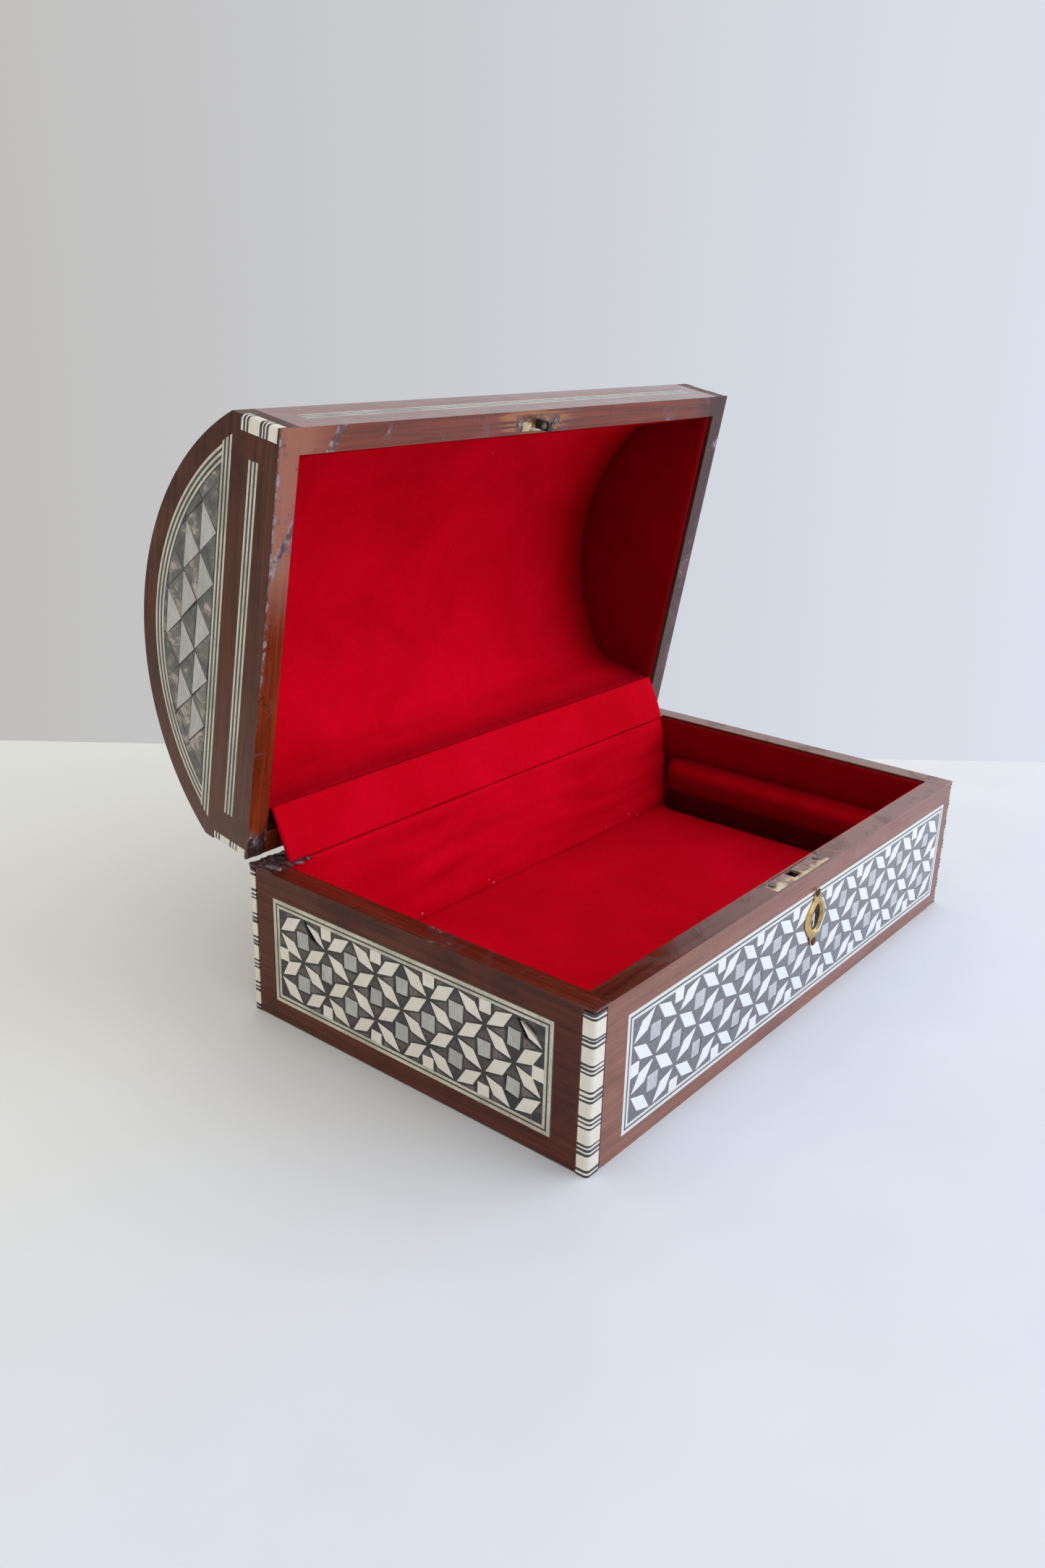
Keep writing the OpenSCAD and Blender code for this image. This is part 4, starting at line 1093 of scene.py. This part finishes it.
SIDES = {"front": (front, 9), "back": (back, 9), "left": (left, 5), "right": (right, 5)}
bones, pearls, woods = Pieces(11), Pieces(12), Pieces(13)
for side, (surface, cells) in SIDES.items():
    chips = {(2 * cells - 2, 3): 1.0, (0, 3): -0.7} if side == "left" else {}
    star_field(surface, *field_of(side), cells, 2, bones, pearls, woods, chips)
made = bones.made("base_bone_inlay", bone, "base", "bone", ["base_bone_pieces"])
# The front's pieces take the lighter copies, which paint the light on the front.
put_front_painted_light(made, front_bone_painted_light)
made = pearls.made("base_pearl_inlay", pearl, "base", "pearl", ["base_pearl_pieces"])
put_front_painted_light(made, front_pearl_painted_light)
made = woods.made("base_wood_inlay", tessera, "base", "ground", [])
put_front_painted_light(made, front_mastic_painted_light)

# --- inlay of the lid

BARREL_HALF_L = HL - 12
BARREL_ANGLE = math.radians(44)
STRING_W = 2.3
barrel_low = (-BARREL_HALF_L + STRING_W, -BARREL_ANGLE * BARREL_R + STRING_W)
barrel_high = (-barrel_low[0], -barrel_low[1])
bones, pearls, woods = Pieces(21), Pieces(22), Pieces(23)


def barrel_seat(u, v, depth):
    return barrel(u, v, max(depth, -0.05) + 0.05)


star_field(barrel_seat, barrel_low, barrel_high, 9, 5, bones, pearls, woods)
bones.made("lid_bone_inlay", bone, "lid", "bone", ["lid_bone_pieces"], lid=True)
pearls.made("lid_pearl_inlay", pearl, "lid", "pearl", ["lid_pearl_pieces"], lid=True)
woods.made("lid_wood_inlay", tessera, "lid", "ground", [], lid=True)

END_FIELD_Z = 20.08
END_FIELD_R = BARREL_R - 5.3 - 3.38
TRIANGLE_PITCH = 13.5
TRIANGLE_H = 6
TRIANGLE_JOINT = 0.14
TRIANGLE_FOOT = END_FIELD_Z + 0.35


def end_region():
    """The D-shaped field of a lid end, anticlockwise."""
    r = END_FIELD_R - 0.3
    low = END_FIELD_Z + 0.25
    spread = math.acos((low - BARREL_C) / r)
    turns = [spread - 2 * spread * k / 48 for k in range(49)]
    return [(r * math.sin(a), BARREL_C + r * math.cos(a)) for a in turns]


def triangle(y, z, up):
    half = TRIANGLE_PITCH / 2
    if up:
        return [(y - half, z), (y + half, z), (y, z + TRIANGLE_H)]
    return [(y, z), (y + half, z + TRIANGLE_H), (y - half, z + TRIANGLE_H)]


def lid_ends():
    """Rows of pearl triangles that point down, with mottled shell between and around them."""
    region = end_region()
    pearls, shells = Pieces(31), Pieces(32)
    for surface in (left, right):
        for row in range(3):
            z = TRIANGLE_FOOT + row * TRIANGLE_H
            top = z + TRIANGLE_H - BARREL_C
            reach = math.sqrt(END_FIELD_R**2 - top**2)
            for i in range(-5, 6):
                y = (i + row % 2 / 2) * TRIANGLE_PITCH
                whole = abs(y) + TRIANGLE_PITCH / 2 < reach + 0.6
                heap = pearls if whole else shells
                shape = inset(heap.worked(triangle(y, z, False), 0.12, 0.7), TRIANGLE_JOINT / 2)
                heap.add(surface, clipped(shape, region), 0.04, 1.1, 0.1)
                shape = triangle(y + TRIANGLE_PITCH / 2, z, True)
                shape = inset(shells.worked(shape, 0.12, 0.7), TRIANGLE_JOINT / 2)
                shells.add(surface, clipped(shape, region), 0.02, 1.1, 0.1)
        cap = TRIANGLE_FOOT + 3 * TRIANGLE_H
        for y0, y1 in ((-20, -7), (-6.6, 6), (6.4, 20)):
            shape = [(y0, cap + 0.3), (y1, cap + 0.3), (y1, cap + 8), (y0, cap + 8)]
            shells.add(surface, clipped(shape, region), 0.02, 1.1, 0.08)
    pearls.made("lid_pearl_triangles_inlay", pearl, "lid", "pearl",
                ["lid_pearl_triangles"], lid=True)
    shells.made("lid_shell_triangles_inlay", abalone, "lid", "abalone",
                ["lid_abalone_triangles"], lid=True)


lid_ends()

# --- velvet lining


def blob(p, seed, scale):
    """Slow noise over a surface, different for each seed."""
    return noise.noise(Vector((p[0] * scale, p[1] * scale, seed * 7.3)))


def lines(length, count, fine):
    """Grid lines over a length, closer together near both ends, where the velvet turns over."""
    ends = [0, 0.12 * fine, 0.35 * fine, 0.65 * fine, fine]
    middle = [fine + (length - 2 * fine) * k / count for k in range(1, count)]
    return ends + middle + [length - e for e in reversed(ends)]


def card(name, size, spot, relief, nodes, body, look, lid=False, thick=CARD_T, turn=1.0,
         counts=(60, 20)):
    """Velvet over card, as a closed sheet: spot(u, v) gives a point and the way it faces."""
    us, vs = lines(size[0], counts[0], turn), lines(size[1], counts[1], turn)
    verts = []
    for top, v, u in itertools.product((1, 0), vs, us):
        near = min(u, size[0] - u, v, size[1] - v) / turn
        round_off = math.sqrt(1 - (1 - min(near, 1)) ** 2) * 0.8 + 0.2
        point, way = spot(u, v)
        out = (thick + relief(u, v)) * round_off if top else 0
        verts.append(Vector(point) + Vector(way) * out)
    faces = slab_faces(len(us), len(vs))
    return piece(name, verts, faces, look, body, nodes, smooth=True, lid=lid)


PAD_INSET, PAD_VOXEL, PAD_SWELL = 0.15, 1.6, 0.7
FLOOR_TOP = node_box("base_floor_pad")[1].z
lining_low, lining_high = node_box("base_front_lining")
LINING_TOP = lining_high.z
LINING_X0, LINING_X1 = lining_low.x, lining_high.x
BACK_FOLD = 5.6


def soft(seed, size, scale=0.03):
    """The uneven filling under velvet, as a height over a card."""
    return lambda u, v: size * blob((u, v), seed, scale)


def back_wrinkles(u, v):
    """Slack in the back lining: low ridges that run along it, more so to the right."""
    ridge = noise.noise(Vector((u * 0.026, v * 0.2 + 0.3 * math.sin(u * 0.05), 3.1)))
    return 0.95 * ridge * min(1, u / 60) + 0.3 * blob((u, v), 5, 0.04)


def base_linings():
    height = LINING_TOP - FLOOR_TOP
    length = LINING_X1 - LINING_X0
    made = card(
        "front_lining", (length, height),
        lambda u, v: ((LINING_X0 + u, -IN_W + FIT, FLOOR_TOP + v), (0, 1, 0)),
        soft(1, 0.3), ["base_front_lining"], "base", velvet,
    )
    low, high = node_box("base_back_lining")
    foot, top = Vector((low.y + CARD_T, FLOOR_TOP)), Vector((high.y, LINING_TOP))
    slope = top - foot
    facing = Vector((-slope.y, slope.x)).normalized()
    made = card(
        "back_lining", (length, slope.length),
        lambda u, v: ((LINING_X0 + u, *foot.lerp(top, v / slope.length)), (0, *facing)),
        back_wrinkles, ["base_back_lining"], "base", back_velvet, counts=(90, 26),
    )
    # The right lining faces away from the light and takes the darker velvet, which paints its
    # shade.
    for side, way in (("left", 1), ("right", -1)):
        low, high = node_box(f"base_{side}_lining")
        x = low.x if way > 0 else high.x
        depth = high.y - low.y
        made = card(
            f"{side}_lining", (depth, height),
            lambda u, v, x=x, y=low.y, way=way: ((x, y + u, FLOOR_TOP + v), (way, 0, 0)),
            soft(2 + way, 0.3), [f"base_{side}_lining"], "base", velvet if way > 0 else painted_shade_velvet,
        )


def lid_path():
    """The lid lining's line across the lid, from the front rim over to the foot at the back."""
    low, high = -IN_W + FIT, IN_W - FIT - BACK_FOLD
    r, foot = UNDER_BARREL, 1.6
    up = BARREL_C + math.sqrt(r * r - low * low)
    down = BARREL_C + math.sqrt(r * r - high * high)
    a0, a1 = math.asin(low / r), math.asin(high / r)
    path = [Vector((low, foot + (up - foot) * k / 8)) for k in range(8)]
    for k in range(49):
        a = a0 + (a1 - a0) * k / 48
        path.append(Vector((r * math.sin(a), BARREL_C + r * math.cos(a))))
    path += [Vector((high, down + (foot - down) * k / 10)) for k in range(1, 11)]
    for _ in range(6):
        eased = [(a + 2 * b + c) / 4 for a, b, c in zip(path, path[1:], path[2:])]
        path = [path[0], *eased, path[-1]]
    return path


def lid_linings():
    path = lid_path()
    steps = [0, *itertools.accumulate((b - a).length for a, b in zip(path, path[1:]))]
    total = steps[-1]
    low, high = node_box("lid_lining")
    length = high.x - low.x

    def spot(u, v):
        k = max(i for i in range(len(steps) - 1) if steps[i] <= v + 1e-9)
        a, b = path[k], path[k + 1]
        t = (v - steps[k]) / (steps[k + 1] - steps[k])
        here = a.lerp(b, t)
        before, after = path[max(k - 1, 0)], path[min(k + 2, len(path) - 1)]
        way = ((b - before) * (1 - t) + (after - a) * t).normalized()
        return (low.x + u, here.x, here.y), (0, way.y, -way.x)

    made = card(
        "lid_velvet_lining", (length, total), spot, soft(9, 0.35, 0.02),
        ["lid_lining"], "lid", lid_velvet, lid=True, counts=(60, 70),
    )
    end_lining("left", 1)
    end_lining("right", -1)


def end_lining(side, way):
    """A D-shaped card covered in velvet, inside one end of the lid."""
    low, high = node_box(f"lid_{side}_lining")
    x = low.x if way > 0 else high.x
    r, half, foot = UNDER_BARREL, IN_W - FIT, 0.8
    a = math.asin(half / r)
    turns = [-a + 2 * a * k / 48 for k in range(49)]
    outline = [Vector((r * math.sin(t), BARREL_C + r * math.cos(t))) for t in turns]
    outline += [Vector((half, outline[-1].y + (foot - outline[-1].y) * k / 6)) for k in range(1, 7)]
    outline += [Vector((half - 2 * half * k / 24, foot)) for k in range(1, 25)]
    outline += [Vector((-half, foot + (outline[0].y - foot) * k / 6)) for k in range(1, 6)]
    middle = Vector((0, 20))
    rings = [(0, 0), (0, 0.25), (0.12, 0.55), (0.35, 0.8), (0.65, 0.95), (1, 1)]
    rings += [(1 + 44 * k / 12, 1) for k in range(1, 12)]
    verts, n = [], len(outline)
    for inward, lift in rings:
        for p in outline:
            toward = middle - p
            q = p + toward * min(inward / toward.length, 0.93)
            out = CARD_T * lift + (0.25 * blob(q, 11, 0.03) if lift == 1 else 0)
            verts.append((x + way * out, q.x, q.y))
    verts.append((x + way * CARD_T, *middle))
    last = (len(rings) - 1) * n
    faces = [tuple(range(n))] + tube_faces(0, n, len(rings) - 1)
    faces += [(last + k, last + (k + 1) % n, len(verts) - 1) for k in range(n)]
    # The right end takes the darker velvet, which paints its shade.
    look = lid_velvet if way > 0 else painted_shade_lid_velvet
    made = piece(f"lid_{side}_velvet", verts, faces, look, "lid",
                 [f"lid_{side}_lining"], smooth=True, lid=True)


def hinge_cover():
    """The velvet flap that bridges the hinge, from the base's back card to the lid's lining."""
    low, high = node_box("hinge_flap")
    start = Vector((IN_W - 0.3, BASE_H - 0.3))
    end = TO_LID @ Vector((0, IN_W - BACK_FOLD - 0.9, 1.0))
    end = Vector((end.y, end.z))
    run = end - start
    facing = Vector((-run.y, run.x)).normalized()
    length = high.x - low.x

    def spot(u, v):
        here = start.lerp(end, v / run.length)
        return (low.x + u, here.x, here.y), (0, facing.x, facing.y)

    def slack(u, v):
        t = v / run.length
        return 0.5 * math.sin(math.pi * t) + 0.25 * blob((u, v), 15, 0.05)

    made = card("hinge_velvet_flap", (length, run.length), spot, slack, ["hinge_flap"], None,
                velvet, thick=0.8, turn=0.5, counts=(70, 16))
    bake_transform(made)


def floor_pad():
    """A slightly smaller copy of its space, blown up as cloth and held down at its edges."""
    low, high = node_box("base_floor_pad")
    size, bm = high - low, bmesh.new()
    bmesh.ops.create_cube(bm, size=1)
    for vert in bm.verts:
        vert.co = Vector(
            (low[k] + size[k] / 2 + vert.co[k] * (size[k] - 2 * PAD_INSET)) * MM for k in range(3)
        )
    bmesh.ops.bevel(bm, geom=list(bm.edges), offset=1.2 * MM, segments=3, profile=0.5,
                    affect="EDGES")
    mesh = bpy.data.meshes.new("velvet_floor")
    bm.to_mesh(mesh)
    bm.free()
    made = linked("velvet_floor", mesh)
    mesh.materials.append(floor_velvet)
    bpy.context.view_layer.objects.active = made
    made.select_set(True)
    remesh = made.modifiers.new("remesh", "REMESH")
    remesh.mode = "VOXEL"
    remesh.voxel_size = PAD_VOXEL * MM
    bpy.ops.object.modifier_apply(modifier="remesh")
    start = [v.co.copy() for v in made.data.vertices]
    blow_up(made)
    for vert, was in zip(made.data.vertices, start):
        p = was / MM
        near = min(p.x - low.x, high.x - p.x, p.y - low.y, high.y - p.y)
        free = min(1, max(0, near / 14)) if p.z > FLOOR_TOP - 2 else 0
        moved, limit = vert.co - was, PAD_SWELL * MM * free
        if moved.length > limit:
            vert.co = was + moved.normalized() * limit
    smooth = made.modifiers.new("smooth", "SUBSURF")
    smooth.levels = smooth.render_levels = 1
    for face in made.data.polygons:
        face.use_smooth = True
    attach(made, "base")
    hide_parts("base_floor_pad")


def blow_up(made):
    """Lets pressure swell a piece for fifteen frames, and keeps the swollen shape."""
    cloth = made.modifiers.new("cloth", "CLOTH")
    cloth.settings.use_pressure = True
    cloth.settings.uniform_pressure_force = 4
    cloth.settings.effector_weights.gravity = 0
    scene = bpy.context.scene
    for at in range(1, 16):
        scene.frame_set(at)
    bpy.ops.object.modifier_apply(modifier="cloth")
    scene.frame_set(1)


def ring_roll():
    """A padded roll along the right wall: rounded above, straight below, pinched at its ends."""
    low, high = node_box("ring_roll")
    width, top, count = high.x - low.x, high.z, 60
    under = top - width
    ring = [
        (high.x - width * math.sin(a) ** 0.9, top - width * (1 - math.cos(a)))
        for a in (math.pi / 2 * k / 24 for k in range(25))
    ]
    ring += [
        (low.x - 0.15 * math.sin(k / 10 * math.pi), under + (FLOOR_TOP - under) * k / 10)
        for k in range(1, 11)
    ]
    ring.append((high.x, FLOOR_TOP))
    verts, n = [], len(ring)
    for i in range(count + 1):
        y = low.y + (high.y - low.y) * i / count
        pinch = 1 - 0.35 * max(0, 1 - min(i, count - i) / 3) ** 2
        for x, z in ring:
            swell = 0.3 * noise.noise(Vector((y * 0.06, z * 0.1, 4.4)))
            verts.append((high.x + (x - high.x) * pinch + swell * (x < high.x - 0.5),
                          y, FLOOR_TOP + (z - FLOOR_TOP) * (1 - 0.1 * (1 - pinch))))
    faces = tube_faces(0, n, count) + end_faces(0, n, count * n)
    # The roll's velvet paints a highlight along its top and shade below.
    made = piece("velvet_ring_roll", verts, faces, ring_velvet_painted_light, "base", ["ring_roll"],
                 smooth=True)


base_linings()
lid_linings()
hinge_cover()
floor_pad()
ring_roll()

# --- stage, light and camera

CAMERA_PLACE = (-307.57, -201.46, 190.94)
CAMERA_AZIMUTH, CAMERA_DOWN, CAMERA_ROLL = -51.412, 20.511, 1.732
CAMERA_LENS = 30.10


def add_camera():
    az, down, roll = (math.radians(a) for a in (CAMERA_AZIMUTH, CAMERA_DOWN, CAMERA_ROLL))
    ahead = Vector((-math.sin(az) * math.cos(down), math.cos(az) * math.cos(down), -math.sin(down)))
    level = Vector((math.cos(az), math.sin(az), 0))
    above = level.cross(ahead)
    side = level * math.cos(roll) + above * math.sin(roll)
    top = above * math.cos(roll) - level * math.sin(roll)
    data = bpy.data.cameras.new("camera")
    data.sensor_fit = "AUTO"
    data.sensor_width = 36
    data.lens = CAMERA_LENS
    data.clip_start = 0.01
    camera = linked("camera", data)
    turn = Matrix((side, top, -ahead)).transposed().to_4x4()
    camera.matrix_world = Matrix.Translation(Vector(CAMERA_PLACE) * MM) @ turn
    bpy.context.scene.camera = camera


WINDOW_PLACE, WINDOW_AIM = Vector((0.75, -0.8, 0.6)), Vector((0, 0, 0.05))
WINDOW_SIZE = (1.3, 1.3)
WINDOW_POWER, WINDOW_COLOUR = 8.6, (0.76, 0.87, 1.0)


def add_window():
    data = bpy.data.lights.new("window", "AREA")
    data.shape = "RECTANGLE"
    data.size, data.size_y = WINDOW_SIZE
    data.energy = WINDOW_POWER
    data.color = WINDOW_COLOUR
    lamp = linked("window", data)
    lamp.location = WINDOW_PLACE
    lamp.rotation_mode = "QUATERNION"
    lamp.rotation_quaternion = (WINDOW_AIM - WINDOW_PLACE).to_track_quat("-Z", "Y")


WALL_NORMAL = Vector((0.765, 0.645))
WALL_DISTANCE = 186.5
WALL_LIGHT_FROM = (0.62, -0.78, 0)
WALL_LIGHT = ((0.0, (0.5, 0.485, 0.46)), (0.45, (0.6, 0.61, 0.64)), (1.0, (0.76, 0.82, 0.93)))
ROOM_LIGHT_FROM = (0.55, -0.3, 0.78)
ROOM_LIGHT = ((0.0, (0.88, 0.8, 0.63)), (0.45, (0.76, 0.72, 0.64)), (1.0, (1.05, 1.05, 1.09)))


def add_stage():
    """A pale floor that ends where the wall behind the box begins."""
    across = Vector((WALL_NORMAL.y, -WALL_NORMAL.x))
    far = 6000
    edge = WALL_NORMAL * WALL_DISTANCE
    corners = [edge - across * far, edge + across * far]
    corners += [c - WALL_NORMAL * far for c in reversed(corners)]
    look = Look("floor", {"Roughness": 0.5, "Specular IOR Level": 0.3})
    speck = look.noise(look.place(), 0.02, 3)
    colour = look.ramp(speck, (0.3, (0.705, 0.74, 0.81)), (0.7, (0.735, 0.77, 0.84)))
    # The floor is painted warmer toward the back: painted light, for the warm light of the room
    # there.
    rearward = look.coord(1, look.place())
    colour = look.mix(look.span(rearward, -70, 70), colour, (0.785, 0.785, 0.74))
    mesh = bpy.data.meshes.new("floor")
    mesh.from_pydata([Vector((c.x, c.y, -0.02)) * MM for c in corners], [], [(0, 1, 2, 3)])
    mesh.materials.append(look.finish(Base_Color=colour))
    linked("floor", mesh)


def add_world():
    """A pale wall behind the box, and the light of the room: bright above and to the right."""
    world = bpy.data.worlds.new("room")
    world.use_nodes = True
    tree = world.node_tree
    seen = tree.nodes["Background"]
    lit = tree.nodes.new("ShaderNodeBackground")
    spot = tree.nodes.new("ShaderNodeTexCoord")

    def gradient(toward, low, high, stops):
        dot = tree.nodes.new("ShaderNodeVectorMath")
        dot.operation = "DOT_PRODUCT"
        dot.inputs[1].default_value = Vector(toward).normalized()
        shift = tree.nodes.new("ShaderNodeMapRange")
        shift.inputs[1].default_value, shift.inputs[2].default_value = low, high
        tree.links.new(spot.outputs["Generated"], dot.inputs[0])
        tree.links.new(dot.outputs["Value"], shift.inputs[0])
        return colour_ramp(tree, shift.outputs[0], stops)

    wall = gradient(WALL_LIGHT_FROM, -0.5, 0.5, WALL_LIGHT)
    room = gradient(ROOM_LIGHT_FROM, -1, 1, ROOM_LIGHT)
    tree.links.new(wall, seen.inputs[0])
    tree.links.new(room, lit.inputs[0])
    path = tree.nodes.new("ShaderNodeLightPath")
    both = tree.nodes.new("ShaderNodeMixShader")
    tree.links.new(path.outputs["Is Diffuse Ray"], both.inputs[0])
    tree.links.new(seen.outputs[0], both.inputs[1])
    tree.links.new(lit.outputs[0], both.inputs[2])
    tree.links.new(both.outputs[0], tree.nodes["World Output"].inputs[0])
    bpy.context.scene.world = world


add_camera()
add_stage()
add_world()
add_window()
bpy.context.scene.view_settings.view_transform = "Standard"
